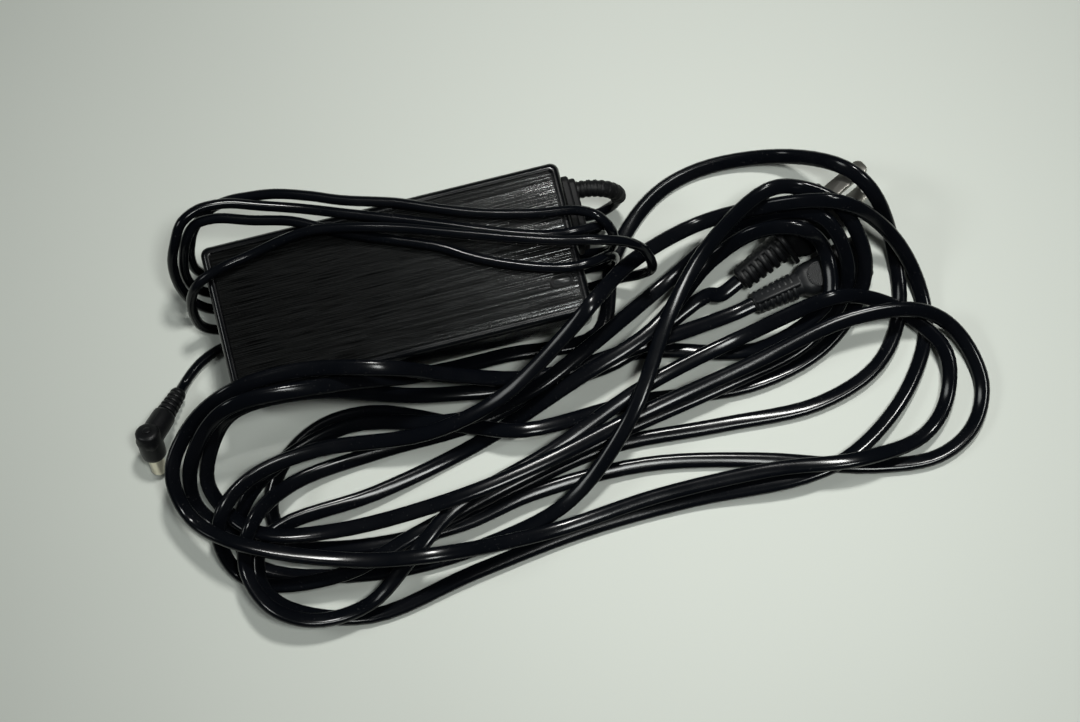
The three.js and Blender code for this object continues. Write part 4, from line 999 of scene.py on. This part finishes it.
def makeMainsPlug():
    p = mainsPlug
    start = mm(*mainsRoute[-1])
    axis = Vector(p["axis"]).normalized()
    level = Vector((axis.y, -axis.x, 0.0)).normalized()
    roll = math.radians(p["roll"])
    up = level.cross(axis) * math.cos(roll) + level * math.sin(roll)
    across = axisFrame(axis, up)[2]
    sleeve = ribbedSleeve(p, start, axis, up, mouldedRubber)
    flange = loftAlong("flange", start, axis, up, p["flange"], mouldedRubber, 1, 8)
    block = loftAlong("block", start, axis, up, p["block"], mouldedRubber, 4, 9)
    blades = []
    slots = []
    for number, way in pair:
        at = start + across * (0.0005 * way * p["bladeSpacing"])
        slots.append(loftAlong("slot", at, axis, up, p["slot"], mouldedRubber, 1, 3))
        blade = loftAlong("mainsBlade" + number, at, axis, up, p["blade"], platedMetal, 1, 2)
        holeAt = at + axis * (0.001 * p["holeAt"])
        hole = roundLoft("hole", holeAt, across, axis, p["hole"], platedMetal, 1, 5)
        blades.append(finishPiece(cutAway(blade, hole), "plated_metal", "mains_blade_" + number))
    piece = joined("mainsPlugBody", *sleeve, flange, cutAway(block, *slots))
    finishPiece(piece, "moulded_rubber", "mains_plug_body")
    return [piece] + blades


mainsPlugPieces = makeMainsPlug()
print("mains plug made")

# appliance connector: ribbed sleeve, a body with a striped grip pad, a nose with two contacts
connector = {
    "axis": (0.98, 0.175, 0.005),
    "core": [(0.3, 3.0, 2.5, 2.4), (0.9, 3.4, 2.8, 2.7), (16.0, 4.1, 3.4, 3.2), (17, 4.4, 3.8, 3.5),
             (19, 4.6, 4, 3.5)],
    "ribs": 7, "ribSpan": (1.0, 16.5), "ribRadius": (4.1, 4.9), "ribForm": (0.82, 0.8, 0.35),
    "backSide": (-0.1, 0.45, 1.0), "backOff": 0.002, "backRise": 0.024,
    "back": [(0.8, 2.1, 1.4, 0.7), (1.3, 2.4, 1.6, 0.8), (17.5, 2.7, 1.7, 0.8)],
    "block": [(18, 4.7, 3.9, 3.6), (19.2, 5.5, 4.3, 3.9), (20.5, 6.2, 4.5, 4), (30, 6.6, 4.7, 4.2),
              (31.2, 7.5, 4.5, 4.2), (32, 7.8, 4.2, 4.1), (42.5, 7.8, 4.2, 4.1), (43, 7.4, 3.8, 3.7)],
    "padAt": 25.0, "pad": [(3.2, 4.4), (4.65, 4.4), (4.82, 4.3), (4.86, 4.1), (4.7, 3.95)],
    "stripes": 13, "stripeTurn": 0.9, "stripePitch": 0.6, "stripeReach": 3.85, "stripeHeight": 4.72,
    "contactSpacing": 8.6, "bore": [(32, 1.7), (44, 1.7)], "contact": [(32.3, 1.4), (42.5, 1.4)],
    "contactHole": [(34, 0.9), (44, 0.9)],
}


def makeConnector():
    c = connector
    start = mm(*mainsRoute[0])
    axis = Vector(c["axis"]).normalized()
    sky = Vector((0, 0, 1))
    side = axisFrame(axis, sky)[2]
    sleeve = ribbedSleeve(c, start, axis, sky, connectorPlastic)
    block = loftAlong("block", start, axis, sky, c["block"], connectorPlastic, 3, 9)
    padFoot = start + axis * (0.001 * c["padAt"])
    pad = roundLoft("pad", padFoot, sky, axis, c["pad"], connectorPlastic, 1, 9)
    along = axis * math.cos(c["stripeTurn"]) + side * math.sin(c["stripeTurn"])
    stripes = []
    for i in range(c["stripes"]):
        off = (i - (c["stripes"] - 1) / 2) * c["stripePitch"]
        half = math.sqrt(c["stripeReach"]**2 - off**2)
        at = padFoot + (sky.cross(along) * off + sky * c["stripeHeight"]) * 0.001
        keys = [(-half, 0.12, 0.12, 0.1), (0.2 - half, 0.19, 0.26, 0.12), (half - 0.2, 0.19, 0.26, 0.12),
                (half, 0.12, 0.12, 0.1)]
        stripes.append(loftAlong("stripe", at, along, sky, keys, connectorPlastic, 1, 2))
    bores = []
    contacts = []
    for number, way in pair:
        at = start + side * (0.0005 * way * c["contactSpacing"])
        bores.append(roundLoft("bore", at, axis, sky, c["bore"], connectorPlastic, 1, 6))
        wall = roundLoft("connectorContact" + number, at, axis, sky, c["contact"], platedMetal)
        hole = roundLoft("hole", at, axis, sky, c["contactHole"], platedMetal)
        contacts.append(finishPiece(cutAway(wall, hole), "plated_metal", "connector_contact_" + number))
    piece = joined("connectorBody", *sleeve, cutAway(block, *bores), pad, *stripes)
    finishPiece(piece, "moulded_rubber", "connector_body")
    return [piece] + contacts


connectorPieces = makeConnector()
print("appliance connector made")

# the inner pieces keep their CAD shapes and get their finishes
innerFinish = {
    "housing_plastic": housingPlastic, "brushed_panel": brushedPanel, "window_plastic": windowPlastic,
    "moulded_rubber": mouldedRubber, "cord_jacket": cordJacket, "plated_metal": platedMetal,
    "cream_insulator": inside["cream"], "board_laminate": inside["laminate"], "ferrite": inside["ferrite"],
    "winding_copper": copperWire, "heat_sink_aluminium": bareMetal,
    "component_case": inside["case"], "film_yellow": inside["film"], "sheet_film": inside["sheet"],
}
slotOf = {row["node"]: row["material_slot"] for row in frame["record"]["subparts"]}
for name, node in frame["nodes"].items():
    for materialSlot in node.material_slots:
        materialSlot.material = innerFinish[slotOf[name]]

# the floor, just below the cords' lowest points
half, height = view["floorHalf"], view["floorHeight"] - 0.00005
verts = [(x * half, y * half, height) for x, y in ((-1, -1), (1, -1), (1, 1), (-1, 1))]
newObject("floor", verts, [(0, 1, 2, 3)], paleFloor)
